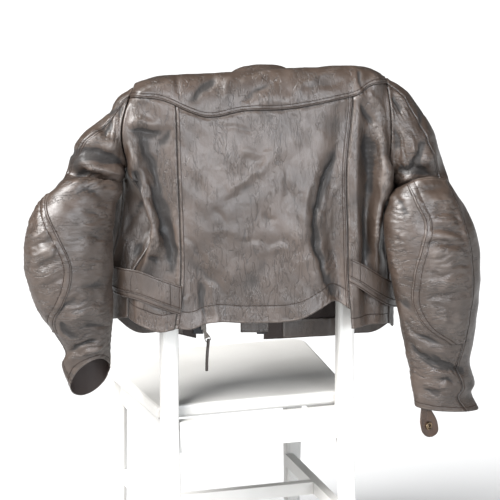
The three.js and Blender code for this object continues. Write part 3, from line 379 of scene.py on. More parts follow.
def fade(columns_away):
    """The armhole's pull on the columns beside it."""
    return np.clip(1 - columns_away / 2, 0, 1) ** 2


def end_of(row, point, drop, w):
    """The end line's own place at a drop, drawn to the armhole's point by w."""
    x, y = line_point(row, drop)
    return [mix(x, point[..., 0], w), mix(y, point[..., 1], w)]


def body_table(lines, cols, rows, start_drop, hem, left=None, right=None):
    """A sheet of the body. left and right give the armhole's turns at the top and the armpit."""
    c, r = np.meshgrid(cols, rows)
    far = last_column(lines)
    up = np.clip(r / TOP_ROWS, 0, 1)
    down = np.clip((r - TOP_ROWS) / LOW_ROWS, 0, 1)
    upper = r <= TOP_ROWS
    begin = start_drop(body_point(lines, c, np.full(c.shape, float(DROPS[0])))[0])
    hem_drop = read(hem, 1, body_point(lines, c, np.full(c.shape, float(DROPS[-1])))[0])
    drop = np.where(upper, mix(begin, DROPS[1], up), mix(DROPS[1], hem_drop, down))
    ends = {}
    for name, hole, away in (("first", left, c), ("last", right, far - c)):
        if hole is None:
            continue
        side, top, armpit = hole
        edge = armhole_point(side, mix(top, armpit, up))
        w = np.clip(1 - (r - TOP_ROWS), 0, 1)
        drop_here = SHOULDER_Z - edge[..., 2]
        low = mix(drop_here, hem_drop, down)
        drop = mix(drop, np.where(upper, drop_here, low), fade(away))
        row = lines[0] if name == "first" else lines[-1]
        ends[name] = end_of(row, edge, drop, w)
    x, y = body_point(lines, c, drop, **ends)
    return np.stack([x, y, SHOULDER_Z - drop], axis=-1)


def back_table(hem, cols, rows):
    holes = [(side, ARMHOLES[side]["yoke"], ARMHOLES[side]["back"]) for side in ("left", "right")]
    return body_table(BACK_LINES, cols, rows, lambda x: read(YOKE_SEAM, 1, x), hem, *holes)


def front_table(side, cols, rows):
    hole = (side, ARMHOLES[side]["front_yoke"], ARMHOLES[side]["front"])
    lines = LEFT_FRONT_LINES if side == "left" else RIGHT_FRONT_LINES
    hem = FRONT_HEM_LEFT if side == "left" else FRONT_HEM_RIGHT
    table = body_table(lines, cols, rows, lambda x: read(FRONT_YOKE, 1, x) + 0.4, hem, **{side: hole})
    w = np.clip(1 - rows, 0, 1)[:, None]
    table[..., 1] = mix(table[..., 1], read(FRONT_YOKE, 2, table[..., 0]), w)
    return table


def side_table(side, cols, rows):
    """The narrow panel under the arm. cols run from 0 at the back to 1 in front."""
    c, r = np.meshgrid(cols, rows)
    back = BACK_LINES[0] if side == "left" else BACK_LINES[-1]
    front = LEFT_FRONT_LINES[0] if side == "left" else RIGHT_FRONT_LINES[-1]
    hem = SIDE_HEM_LEFT if side == "left" else SIDE_HEM_RIGHT
    front_hem = FRONT_HEM_LEFT if side == "left" else FRONT_HEM_RIGHT
    hole = ARMHOLES[side]
    top = armhole_point(side, mix(hole["back"], hole["front"], c))
    back_end = read(hem, 1, np.array(back[-1][0]))
    front_end = read(front_hem, 1, np.array(front[-1][0]))
    drop = mix(SHOULDER_Z - top[..., 2], mix(back_end, front_end, c), r / LOW_ROWS)
    a, b = line_point(back, drop), line_point(front, drop)
    bulge = 4 * np.sin(np.pi * c) * smooth(r / LOW_ROWS) * (-1 if side == "left" else 1)
    w = np.clip(1 - r, 0, 1)
    x = mix(mix(a[0], b[0], c) + bulge, top[..., 0], w)
    y = mix(mix(a[1], b[1], c), top[..., 1], w)
    return np.stack([x, y, SHOULDER_Z - drop], axis=-1)


def arch_end(x):
    away = np.abs(x - COLLAR["neck_x"]) / COLLAR["neck_half"]
    return np.where(away >= 1, 180, mix(COLLAR["neck_back"], 180, np.minimum(away, 1) ** 2.5))


def over_shoulder(x, share):
    """A point of the arch over the shoulders, from the back yoke seam (0) to its far end (1)."""
    drop = read(YOKE_SEAM, 1, x)
    flat = drop.ravel()
    plan = np.array([line_point(row, flat) for row in BACK_LINES])
    back_y = curve(plan[:, 0], plan[:, 1], x.ravel()).reshape(x.shape)
    top_z = seen_height(x, SHOULDER_Z - read(RIDGE, 1, x))
    top_y = read(RIDGE, 2, x)
    degrees = np.where(share < 0.5, 180 * share, mix(90, arch_end(x), 2 * share - 1))
    angle = np.radians(degrees)
    behind = degrees < 90
    foot_y = np.where(behind, back_y, read(FRONT_YOKE, 2, x))
    foot_drop = np.where(behind, drop, read(FRONT_YOKE, 1, x))
    y = mix(top_y, foot_y, np.abs(np.cos(angle)))
    return np.stack([x, y, mix(SHOULDER_Z - foot_drop, top_z, np.sin(angle))], axis=-1)


def yoke_table(cols, rows):
    """The yoke, with rows from 0 at the back seam to 1 at its far end, joined to the back."""
    c, share = np.meshgrid(cols, rows)
    far = last_column(BACK_LINES)
    x = body_point(BACK_LINES, c, np.full(c.shape, float(DROPS[0])))[0]
    points = over_shoulder(x, share)
    for side, away, edge_x in (("left", c, x[:, :1]), ("right", far - c, x[:, -1:])):
        hole = ARMHOLES[side]
        end = armhole_point(side, mix(hole["yoke"], hole["front_yoke"] - 360, share))
        gap = end - over_shoulder(edge_x * np.ones(x.shape), share)
        points = points + gap * fade(away)[..., None]
    seam = back_table(BACK_HEM, cols, np.array([0.0]))
    return points + (seam - points[:1]) * (np.clip(1 - share / 0.25, 0, 1) ** 2)[..., None]


def collar_table(cols, rows):
    """The stand collar: cols from -1 to 1 round the neck, rows from 0 to 1 up."""
    turn, up_share = np.meshgrid(cols, rows)
    x = COLLAR["neck_x"] + COLLAR["neck_half"] * np.sin(turn * math.pi / 2) * 0.995
    base = over_shoulder(x, np.ones(x.shape))
    lean = mix(COLLAR["lean"], COLLAR["lean_ends"], turn**2)
    up = unit(np.stack([0.25 * turn, np.ones(x.shape), lean], axis=-1))
    return base + up * (COLLAR["clear"] + COLLAR["height"] * up_share)[..., None]


def front_edge(side, drop):
    row = LEFT_FRONT_LINES[-1] if side == "left" else RIGHT_FRONT_LINES[0]
    x, y = line_point(row, drop)
    return np.stack([x, y, SHOULDER_Z - drop], axis=-1)


def edge_strip(side, strip, cols, rows):
    """A strip behind a front's open edge. cols run from 0 under the leather to 1 outside."""
    c, r = np.meshgrid(cols, rows)
    p = front_edge(side, mix(strip["top"], strip["bottom"], r))
    past = mix(-strip["lap"], strip["out"], c) * (1 if side == "left" else -1)
    p[..., 0] += past
    p[..., 1] -= LEATHER + strip["behind"]
    return p


def strap_table(side, cols, rows, down=0):
    """A waist strap: cols run along its path's points, rows from its top edge to its bottom."""
    c, r = np.meshgrid(cols, rows)
    points = np.arange(len(STRAPS[side]))
    x, y, top, bottom = (curve(points, [row[k] for row in STRAPS[side]], c) for k in range(4))
    return np.stack([x, y, SHOULDER_Z - mix(top, bottom, r) - down], axis=-1)


# ---------------------------------------------------------------- creases

DEPTH = 1.5  # how much deeper than the table the folds are made
SQUARE = 1.9  # the pattern grid's squares, in millimetres, as the viewer sees them
GRID = {"across": 258, "down": 67.5, "tall": 1.959, "tip": 0.25}

BACK = ("yoke", "back_centre", "back_side_left", "back_side_right")
LEFT_ARM = ("sleeve_back_left", "sleeve_front_left")
RIGHT_ARM = ("sleeve_back_right", "sleeve_front_right")

# The main folds. rise is out (+) or in (-) at its middle, left and right are how far it reaches
# to each side of its path, ends says which ends fade out, and the path is in grid squares.
CREASES = [
    # pieces, rise, left, right, ends, path
    (BACK, -20.0, 12, 7, "both", [(139, 168), (135, 184), (130, 200), (123, 215), (115, 232)]),
    (BACK, -5.5, 2.6, 4.5, "both",
     [(338, 148), (324, 186), (318, 209), (317, 231), (321, 255), (327, 279)]),
    (BACK, -5.0, 2.4, 4, "both", [(149, 178), (155, 196), (162, 220), (167, 245)]),
    (BACK, -5.0, 8, 10, "both", [(150, 176), (159, 200), (167, 226), (173, 256), (174, 280)]),
    (BACK, -3.2, 9, 9, "both", [(216, 72), (214, 80), (206, 88), (197, 98), (191, 107)]),
    (BACK, 2.0, 10, 8, "both", [(226, 74), (228, 84), (224, 96), (214, 104)]),
    (BACK, -2.2, 8, 10, "both", [(240, 106), (252, 96), (264, 88), (278, 81)]),
    (BACK, 1.8, 7, 12, "both", [(232, 86), (250, 79), (266, 75), (284, 72)]),
    (BACK, 1.8, 14, 14, "both", [(252, 103), (276, 101), (300, 99)]),
    (BACK, -1.6, 9, 9, "both", [(298, 92), (318, 86), (338, 84), (352, 80)]),
    (BACK, 1.8, 8, 8, "both", [(289, 97), (304, 86), (320, 77), (342, 70)]),
    (BACK, -2.6, 7, 5, "both", [(357, 68), (359, 80), (362, 95)]),
    (BACK, 1.6, 6, 9, "both", [(367, 69), (373, 77), (381, 82)]),
    (BACK, -1.8, 5, 7, "both", [(180, 75), (178, 86), (182, 98)]),
    (BACK, 1.4, 9, 9, "both", [(146, 90), (164, 86), (182, 90)]),
    (BACK, -1.3, 6, 6, "both", [(140, 96), (158, 99), (176, 100)]),
    (BACK, 3.6, 9, 14, "both", [(128, 124), (138, 123), (150, 125), (165, 124)]),
    (BACK, -4.2, 6, 10, "both", [(127, 129), (140, 131), (155, 134), (166, 132)]),
    (BACK, 4.2, 10, 9, "both", [(126, 137), (132, 157), (143, 181), (154, 198), (158, 214)]),
    (BACK, -3.8, 7, 9, "both", [(139, 134), (144, 145), (152, 161), (158, 180), (163, 200)]),
    (BACK, -2.6, 8, 6, "both", [(163, 198), (165, 216), (169, 240), (172, 268)]),
    (BACK, 3.0, 9, 9, "both", [(144, 193), (151, 206), (156, 224), (157, 240), (148, 256)]),
    (BACK, -3.6, 9, 6, "both", [(146, 258), (154, 260), (163, 262)]),
    (BACK, -1.6, 5, 5, "both", [(174, 127), (166, 139), (159, 150)]),
    (BACK, -2.6, 6, 6, "both", [(128, 142), (131, 158), (138, 176), (140, 196)]),
    (BACK, -1.0, 6, 6, "both", [(209, 120), (222, 127), (240, 131), (262, 132)]),
    (BACK, 1.1, 7, 16, "both", [(236, 149), (252, 153), (266, 154), (280, 151)]),
    (BACK, -1.3, 8, 14, "both", [(240, 158), (254, 161), (268, 160)]),
    (BACK, 1.5, 9, 9, "both", [(278, 155), (262, 168), (246, 181), (220, 199)]),
    (BACK, -1.2, 9, 9, "both", [(262, 176), (248, 189), (232, 200), (218, 212)]),
    (BACK, -1.1, 3, 3, "both", [(285, 165), (286, 178), (287, 199)]),
    (BACK, -1.4, 5, 7, "both", [(213, 205), (220, 216), (228, 228)]),
    (BACK, -1.4, 5, 7, "both", [(261, 212), (268, 219), (277, 224)]),
    (BACK, 1.2, 12, 12, "both", [(208, 232), (224, 230), (242, 234)]),
    (BACK, 1.0, 6, 6, "both", [(268, 250), (280, 249), (293, 251)]),
    (BACK, -1.2, 8, 8, "both", [(232, 244), (252, 240), (272, 243), (292, 239)]),
    (BACK, 1.3, 12, 12, "both", [(297, 261), (308, 259), (318, 262)]),
    (BACK, -1.7, 6, 6, "both", [(188, 232), (194, 246), (203, 260), (205, 272)]),
    (BACK, -2.3, 7, 7, "start", [(200, 276), (202, 296), (205, 318), (205, 326)]),
    (BACK, 2.0, 8, 9, "start", [(209, 276), (213, 296), (216, 316), (217, 324)]),
    (BACK, -1.5, 10, 8, "both", [(190, 261), (203, 272), (218, 286), (228, 303)]),
    (BACK, 1.2, 10, 12, "both", [(188, 248), (204, 258), (222, 272), (240, 284)]),
    (BACK, -3.4, 12, 8, "start", [
        (338, 132), (331, 164), (322, 189), (316, 212), (314, 234), (318, 251), (325, 273),
        (333, 292),
    ]),
    (BACK, 2.4, 10, 10, "both", [(346, 150), (338, 176), (331, 200), (329, 224), (334, 246)]),
    (BACK, 1.6, 10, 8, "both", [(324, 150), (314, 176), (307, 200), (304, 228), (308, 250)]),
    (BACK, -3.0, 5, 5, "both", [(357, 101), (364, 113), (374, 129)]),
    (BACK, 2.6, 6, 7, "both", [(366, 90), (376, 102), (384, 113)]),
    (BACK, -4.6, 9, 7, "both", [(363, 128), (368, 150), (369, 176), (368, 204)]),
    (BACK, 3.0, 7, 8, "both", [(381, 116), (382, 140), (383, 170), (381, 200)]),
    (BACK, -3.4, 6, 5, "both", [(363, 200), (365, 222), (366, 246), (364, 268)]),
    (BACK, 1.8, 6, 6, "both", [(375, 204), (376, 228), (377, 262)]),
    (BACK, -1.5, 5, 5, "both", [(385, 205), (386, 230), (386, 262)]),
    (BACK, 1.6, 7, 7, "both", [(354, 110), (352, 136), (351, 160)]),
    (("side_left", "back_side_left"), -2.4, 5, 5, "both", [(146, 196), (134, 214), (120, 237)]),
    (("side_left", "back_side_left"), -2.4, 5, 5, "both", [
        (153, 217), (146, 235), (136, 250), (131, 262),
    ]),
    (("side_left", "back_side_left"), 4.5, 12, 12, "both", [(118, 158), (120, 176), (121, 200)]),
    (("side_right", "back_side_right"), 6.5, 12, 12, "both", [(390, 158), (391, 180), (390, 206)]),
    # left sleeve
    (LEFT_ARM, 7.0, 12, 12, "both", [(120, 160), (117, 178), (114, 204)]),
    (RIGHT_ARM, 7.0, 12, 12, "both", [(394, 158), (392, 178), (388, 204)]),
    (LEFT_ARM, -3.4, 7, 7, "both", [(99, 117), (106, 112), (117, 110), (131, 113)]),
    (LEFT_ARM, 2.6, 8, 9, "both", [(84, 124), (98, 105), (114, 98), (128, 93)]),
    (LEFT_ARM, -2.4, 5, 5, "both", [(101, 120), (104, 131), (112, 143)]),
    (LEFT_ARM, -2.2, 5, 5, "both", [(112, 119), (111, 128), (106, 137)]),
    (LEFT_ARM, 2.2, 7, 7, "both", [(84, 140), (96, 135), (108, 140), (120, 148)]),
    (LEFT_ARM, -6.5, 9, 14, "end", [(72, 155), (84, 152), (97, 153), (112, 158), (129, 166)]),
    (LEFT_ARM, 3.4, 10, 9, "both", [(76, 144), (92, 143), (108, 148), (122, 156)]),
    (LEFT_ARM, 4.0, 6, 9, "both", [(82, 169), (96, 170), (108, 170), (122, 173)]),
    (LEFT_ARM, -3.2, 5, 6, "both", [(73, 175), (82, 175), (93, 174), (106, 178)]),
    (LEFT_ARM, 2.2, 8, 8, "both", [(70, 187), (82, 182), (96, 184), (107, 190)]),
    (LEFT_ARM, -2.2, 6, 6, "both", [(74, 196), (88, 191), (98, 194), (108, 200)]),
    (LEFT_ARM, -1.7, 4, 4, "both", [(84, 215), (95, 214), (108, 217)]),
    (LEFT_ARM, 1.6, 6, 6, "both", [(80, 224), (94, 226), (108, 224)]),
    (LEFT_ARM, -1.7, 4, 4, "both", [(84, 236), (94, 235), (108, 241)]),
    (LEFT_ARM, -1.3, 4, 4, "both", [(86, 259), (94, 258), (104, 260)]),
    (LEFT_ARM, 1.4, 8, 8, "both", [(82, 276), (94, 274), (108, 277)]),
    (LEFT_ARM, -1.5, 5, 5, "both", [(82, 288), (94, 286), (108, 284)]),
    (LEFT_ARM, -3.0, 6, 7, "both", [(58, 318), (63, 309), (71, 302), (85, 297)]),
    (LEFT_ARM, 2.6, 8, 8, "both", [(64, 326), (76, 317), (92, 312), (106, 313)]),
    (LEFT_ARM, -4.2, 7, 6, "start", [(60, 322), (64, 330), (72, 339)]),
    (LEFT_ARM, -3.4, 5, 6, "both", [(67, 354), (76, 349), (88, 342), (103, 336)]),
    (LEFT_ARM, 3.0, 6, 6, "both", [(72, 359), (84, 353), (96, 349), (106, 348)]),
    (LEFT_ARM, -2.0, 5, 5, "both", [(84, 327), (95, 324), (109, 326)]),
    # right sleeve
    (RIGHT_ARM, -2.8, 4, 6, "both", [(390, 91), (396, 102), (401, 117)]),
    (RIGHT_ARM, 2.4, 6, 6, "both", [(398, 92), (404, 104), (407, 120)]),
    (RIGHT_ARM, -2.4, 6, 6, "both", [(390, 124), (396, 140), (398, 156)]),
    (RIGHT_ARM, 2.6, 8, 8, "both", [(402, 128), (410, 146), (413, 160)]),
    (RIGHT_ARM, -2.2, 5, 5, "both", [(424, 110), (420, 124), (424, 138)]),
    (RIGHT_ARM, -3.0, 6, 6, "both", [(436, 140), (427, 143), (421, 149), (418, 160)]),
    (RIGHT_ARM, 2.2, 6, 6, "both", [(441, 152), (433, 156), (427, 166)]),
    (RIGHT_ARM, -6.0, 8, 10, "start", [(386, 168), (398, 171), (412, 169), (424, 172)]),
    (RIGHT_ARM, -4.2, 5, 5, "both", [(419, 148), (416, 159), (413, 171)]),
    (RIGHT_ARM, 3.6, 7, 9, "both", [(398, 179), (412, 180), (428, 180), (442, 183)]),
    (RIGHT_ARM, -1.8, 5, 5, "both", [(393, 196), (401, 206), (406, 220)]),
    (RIGHT_ARM, -1.6, 5, 5, "both", [(392, 236), (400, 244), (404, 258)]),
    (RIGHT_ARM, 1.8, 7, 7, "both", [(390, 252), (397, 268), (400, 288)]),
    (RIGHT_ARM, -1.8, 5, 6, "both", [(394, 298), (403, 302), (412, 312)]),
    (RIGHT_ARM, -3.0, 6, 6, "both", [(404, 318), (414, 331), (428, 340), (446, 347)]),
    (RIGHT_ARM, 2.6, 8, 8, "both", [(406, 328), (420, 343), (440, 352), (458, 354)]),
    (RIGHT_ARM, -4.8, 7, 9, "start", [(404, 337), (416, 349), (430, 360), (446, 366), (463, 371)]),
    (RIGHT_ARM, 3.0, 7, 8, "both", [(406, 350), (422, 366), (440, 373), (460, 378)]),
    (RIGHT_ARM, -2.6, 5, 6, "both", [(411, 358), (424, 367), (440, 371), (459, 373)]),
    (RIGHT_ARM, -3.0, 7, 7, "both", [(438, 382), (450, 381), (461, 386)]),
    (RIGHT_ARM, -2.2, 5, 5, "both", [(421, 392), (434, 394), (449, 393)]),
    (RIGHT_ARM, 2.0, 7, 7, "both", [(424, 383), (436, 387), (452, 388)]),
    # elbow pieces
    (("elbow_left",), -1.8, 7, 6, "both", [(26, 234), (34, 229), (42, 224)]),
    (("elbow_left",), -2.6, 7, 8, "both", [(30, 248), (44, 243), (60, 236)]),
    (("elbow_left",), 1.8, 9, 9, "both", [(28, 240), (42, 234), (58, 228)]),
    (("elbow_left",), -2.8, 7, 8, "both", [(33, 270), (50, 263), (68, 255)]),
    (("elbow_left",), 2.0, 9, 9, "both", [(30, 260), (46, 253), (64, 246)]),
    (("elbow_left",), -1.6, 6, 6, "both", [(40, 289), (54, 281), (70, 275)]),
    (("elbow_left",), -1.4, 5, 5, "both", [(40, 212), (47, 208), (54, 210)]),
    (("elbow_right",), -2.0, 5, 6, "both", [(414, 195), (424, 191), (446, 190)]),
    (("elbow_right",), 1.8, 8, 8, "both", [(424, 202), (440, 201), (458, 206)]),
    (("elbow_right",), -1.8, 6, 6, "both", [(427, 217), (442, 215), (464, 220)]),
    (("elbow_right",), -3.6, 6, 8, "both", [(426, 230), (440, 228), (452, 232), (466, 238)]),
    (("elbow_right",), 2.4, 5, 5, "both", [(422, 237), (438, 235), (456, 238)]),
    (("elbow_right",), -3.0, 5, 7, "both", [(417, 245), (437, 242), (451, 245), (466, 243)]),
    (("elbow_right",), 2.0, 7, 7, "both", [(418, 254), (438, 252), (462, 255)]),
    (("elbow_right",), -2.0, 5, 5, "both", [(446, 267), (458, 265), (470, 266)]),
    (("elbow_right",), -2.2, 5, 6, "both", [(428, 275), (448, 274), (470, 275)]),
    (("elbow_right",), 1.6, 7, 7, "both", [(420, 284), (440, 284), (466, 286)]),
    (("elbow_right",), -2.6, 6, 6, "both", [(424, 299), (446, 294), (468, 293)]),
    (("elbow_right",), -2.0, 5, 5, "both", [(430, 303), (442, 307), (455, 313)]),
    (("elbow_right",), 1.6, 6, 6, "both", [(436, 316), (446, 320), (460, 322)]),
    # fronts and under the arms, which face the other way
    (("front_left",), -3.4, 8, 12, "both", [(206, 110), (190, 140), (176, 176), (166, 206)]),
    (("front_left",), 3.0, 10, 12, "both", [(192, 112), (176, 144), (162, 180), (154, 214)]),
    (("front_left",), -2.8, 7, 9, "both", [(150, 236), (166, 246), (184, 250), (196, 250)]),
    (("front_left",), 2.4, 9, 9, "both", [(146, 252), (164, 262), (186, 268)]),
    (("front_left",), -2.2, 7, 7, "start", [(170, 284), (168, 306), (172, 330)]),
    (("front_left",), -2.4, 6, 8, "both", [(134, 150), (146, 164), (162, 172)]),
    (("front_right",), -3.4, 8, 12, "both", [(306, 112), (322, 142), (336, 176), (348, 206)]),
    (("front_right",), 3.0, 10, 12, "both", [(320, 110), (338, 142), (352, 176), (362, 200)]),
    (("front_right",), -2.8, 7, 9, "both", [(372, 236), (352, 248), (330, 254), (306, 252)]),
    (("front_right",), 2.4, 9, 9, "both", [(376, 256), (352, 266), (322, 270)]),
    (("front_right",), -2.2, 7, 7, "start", [(330, 286), (334, 308), (330, 332)]),
    (("front_right",), -2.2, 6, 8, "both", [(276, 200), (292, 214), (314, 218)]),
    (("side_right",), -2.6, 6, 8, "both", [(380, 196), (386, 214), (390, 240)]),
    (("side_right",), -2.2, 6, 7, "both", [(394, 206), (392, 228), (386, 252)]),
]

# Patches of fine gathers: pieces, middle, reach across and down, lean of the lines in degrees
# from upright, distance from one to the next, and depth.
GATHERS = [
    (BACK, (322, 294), (22, 14), 8, 6.5, 0.9),
    (BACK, (332, 262), (12, 26), 20, 8, 0.6),
    (BACK, (200, 107), (9, 6), 30, 6, 0.7),
    (BACK, (320, 100), (10, 5), -35, 6, 0.8),
    (BACK, (337, 94), (9, 5), -30, 6, 0.8),
    (BACK, (357, 91), (6, 6), -20, 6, 0.7),
    (BACK, (150, 104), (16, 5), 14, 8, 0.5),
    (BACK, (196, 300), (14, 20), 4, 9, 0.8),
    (BACK, (154, 236), (8, 22), 60, 8, 0.6),
    (BACK, (376, 150), (10, 36), 70, 9, 0.8),
    (BACK, (376, 232), (8, 26), 65, 7, 0.6),
    (LEFT_ARM, (106, 132), (14, 14), 10, 8, 0.9),
    (LEFT_ARM, (94, 188), (18, 14), 62, 9, 1.1),
    (LEFT_ARM, (98, 226), (14, 22), 84, 10, 0.7),
    (LEFT_ARM, (90, 344), (20, 16), 66, 10, 1.0),
    (LEFT_ARM, (86, 306), (20, 18), 74, 12, 0.7),
    (RIGHT_ARM, (396, 104), (12, 16), -28, 7, 0.9),
    (RIGHT_ARM, (404, 152), (16, 18), -10, 9, 0.8),
    (RIGHT_ARM, (398, 230), (10, 50), 78, 10, 0.6),
    (RIGHT_ARM, (436, 364), (28, 18), -62, 9, 1.2),
    (RIGHT_ARM, (446, 392), (24, 12), -76, 9, 0.7),
    (("elbow_left",), (48, 250), (24, 40), 62, 11, 0.7),
    (("elbow_right",), (446, 250), (24, 60), 86, 10, 0.8),
]


def seen(table):
    """Where the viewer sees points of a table, in grid squares."""
    x, y, z = np.moveaxis(table, -1, 0)
    down = (SHOULDER_Z - z - GRID["tip"] * y) / GRID["tall"]
    return np.stack([GRID["across"] + x / SQUARE, GRID["down"] + down], axis=-1)


def path_through(places):
    """A smooth line through places, in millimetres."""
    corners = np.array(places, float) * SQUARE
    run = run_of(corners)
    marks = np.linspace(0, run[-1], max(8, round(run[-1] / 5)))
    return np.stack([curve(run, corners[:, k], marks) for k in (0, 1)], axis=-1)


def beside(spots, line):
    """Each spot's distance from a line, minus on its left, and its share of the way along."""
    flat = spots.reshape(-1, 2)
    near = np.full(len(flat), 1e9)
    signed = np.zeros(len(flat))
    share = np.zeros(len(flat))
    run = run_of(line)
    for a, b, start in zip(line[:-1], line[1:], run[:-1]):
        length = max(float(np.linalg.norm(b - a)), 1e-6)
        way = (b - a) / length
        off = flat - a
        t = np.clip(off @ way, 0, length)
        gap = np.linalg.norm(off - t[:, None] * way, axis=1)
        closer = gap < near
        near[closer] = gap[closer]
        turn = off[closer, 1] * way[0] - off[closer, 0] * way[1]
        signed[closer] = np.copysign(gap[closer], turn)
        share[closer] = (start + t[closer]) / run[-1]
    return signed.reshape(spots.shape[:-1]), share.reshape(spots.shape[:-1])


def fades(share, ends):
    start = smooth(share / 0.3) if ends in ("both", "start") else 1
    end = smooth((1 - share) / 0.3) if ends in ("both", "end") else 1
    return 0.12 + 0.88 * start * end


def creased(name, table):
    """How far a piece's folds and gathers move each of its points out."""
    spots = seen(table) * SQUARE
    wander = np.stack([WANDER_ACROSS(table), WANDER_DOWN(table)], axis=-1)
    spots = spots + 2.2 * wander
    rise = np.zeros(spots.shape[:-1])
    for pieces, high, left, right, ends, places in CREASES:
        if name not in pieces:
            continue
        signed, share = beside(spots, path_through(places))
        reach = np.where(signed < 0, left, right)
        rise += DEPTH * high * np.exp(-((np.abs(signed) / reach) ** 1.5)) * fades(share, ends)
    for pieces, middle, reach, lean, pitch, deep in GATHERS:
        if name not in pieces:
            continue
        away = (spots - np.array(middle) * SQUARE) / (np.array(reach) * SQUARE)
        share = np.exp(-((away**2).sum(axis=-1) ** 1.3))
        turn = math.radians(lean)
        across = spots[..., 0] * math.cos(turn) + spots[..., 1] * math.sin(turn)
        line = np.cos(2 * math.pi * across / pitch + 1.6 * PHASE(table))
        rise += 1.3 * deep * share * (line - 0.35 * line**2)
    return rise


WANDER_ACROSS = wave_field(3, 34)
WANDER_DOWN = wave_field(4, 34)
PHASE = wave_field(5, 46)
SLOW = wave_field(6, 95)
ROLLING = wave_field(8, 42)
CRINKLE = wave_field(9, 17, 20)


def rumpled(points, much):
    """The small unevenness of soft, worn leather."""
    crinkle = CRINKLE(points)
    return much * (0.9 * SLOW(points) + 0.55 * ROLLING(points) - 0.26 * np.abs(crinkle) + 0.1)


# ---------------------------------------------------------------- panels


def dip(away, at, wide):
    return np.exp(-(((away - at) / wide) ** 2))


# How a panel's edge is made: its rise at a distance from that edge.
EDGE_FORMS = {
    "seam": lambda e: -1.5 * dip(e, 0, 1.7) + 0.55 * dip(e, 5, 3.2),
    "over": lambda e: 0.9 * dip(e, 0, 12) - 1.3 * dip(e, 0, 0.8),
    "under": lambda e: -1.7 * dip(e, 0, 4.5),
    "hem": lambda e: 0.45 * dip(e, 0, 12) - 0.9 * dip(e, 0, 0.9),
    "end": lambda e: -0.7 * dip(e, 0, 0.8),
}
PUCKER = {"seam": 0.5, "over": 0.35, "under": 0.3, "hem": 0.3, "end": 0.0}
EDGES = ("top", "bottom", "first", "last")


def directions(points, side):
    down = np.gradient(points, axis=0)
    along = np.gradient(points, axis=1)
    return unit(np.cross(down, along)) * side


def edge_reach(points):
    """Each point's distance from the four edges of its grid."""
    down = run_of(points)
    along = np.moveaxis(run_of(np.moveaxis(points, 1, 0)), 1, 0)
    reach = {"top": down, "bottom": down[-1] - down}
    reach.update({"first": along, "last": along[:, -1:] - along})
    return reach


class Panel:
    """A piece of leather as a grid of points on its face, with the way out at each."""

    def __init__(self, name, base, side, edges, stitched=(), thick=LEATHER):
        self.name = name
        self.base = base
        self.side = side
        self.edges = edges
        self.stitched = list(stitched)
        self.thick = thick
        self.reach = edge_reach(base)

    def raised(self, lift, out):
        """The panel with its face moved out from its base."""
        self.lift = lift
        self.points = self.base + out * lift[..., None]
        self.out = directions(self.points, self.side)
        return self

    def seams(self):
        """How far the edges and the rows of stitches move each point out."""
        rise = np.zeros(self.base.shape[:-1])
        pucker = 0.6 * PUCKERS(self.base) + 0.4 * CRINKLE(self.base)
        for edge, kind in self.edges.items():
            away = self.reach[edge]
            rise += EDGE_FORMS[kind](away) + PUCKER[kind] * pucker * np.exp(-away / 11)
        for edge, offset in self.stitched:
            rise -= 0.5 * dip(self.reach[edge], offset, 1.1)
        return rise

    def row_at(self, edge, offset):
        """Points and ways out along a line at a distance inside an edge."""
        swap = edge in ("first", "last")
        points, out, reach = self.points, self.out, self.reach[edge]
        if swap:
            points, out, reach = np.swapaxes(points, 0, 1), np.swapaxes(out, 0, 1), reach.T
        if edge in ("bottom", "last"):
            points, out, reach = points[::-1], out[::-1], reach[::-1]
        i = np.clip((reach < offset).sum(axis=0), 1, len(reach) - 1)
        n = np.arange(points.shape[1])
        step = reach[i, n] - reach[i - 1, n]
        t = np.clip((offset - reach[i - 1, n]) / np.maximum(step, 1e-6), 0, 1)[:, None]
        return mix(points[i - 1, n], points[i, n], t), mix(out[i - 1, n], out[i, n], t)


PUCKERS = wave_field(10, 9, 20)
CALM = 14  # how far from a fixed edge its folds come to full height


def folded_panel(name, table, side, edges, stitched=(), fixed=(), much=1.0):
    """A piece with its own folds, which are calmed beside its fixed edges."""
    base = place(table)
    made = Panel(name, base, side, edges, stitched)
    lift = creased(name, table) + rumpled(base, much)
    for edge in fixed:
        lift = lift * smooth(made.reach[edge] / CALM)
    return made.raised(lift + made.seams(), directions(base, side))


def drawn_in(points, by):
    """The grid with its border drawn in a little."""
    moved = points.copy()
    for edge, inner in ((0, 1), (-1, -2)):
        moved[edge] += by * unit(points[inner] - points[edge])
        moved[:, edge] += by * unit(points[:, inner] - points[:, edge])
    return moved


def border_of(rows, cols):
    """The points round a grid, in order, as numbers of its flat list."""
    top = [c for c in range(cols)]
    right = [r * cols + cols - 1 for r in range(1, rows)]
    bottom = [(rows - 1) * cols + c for c in range(cols - 2, -1, -1)]
    left = [r * cols for r in range(rows - 2, 0, -1)]
    return np.array(top + right + bottom + left)


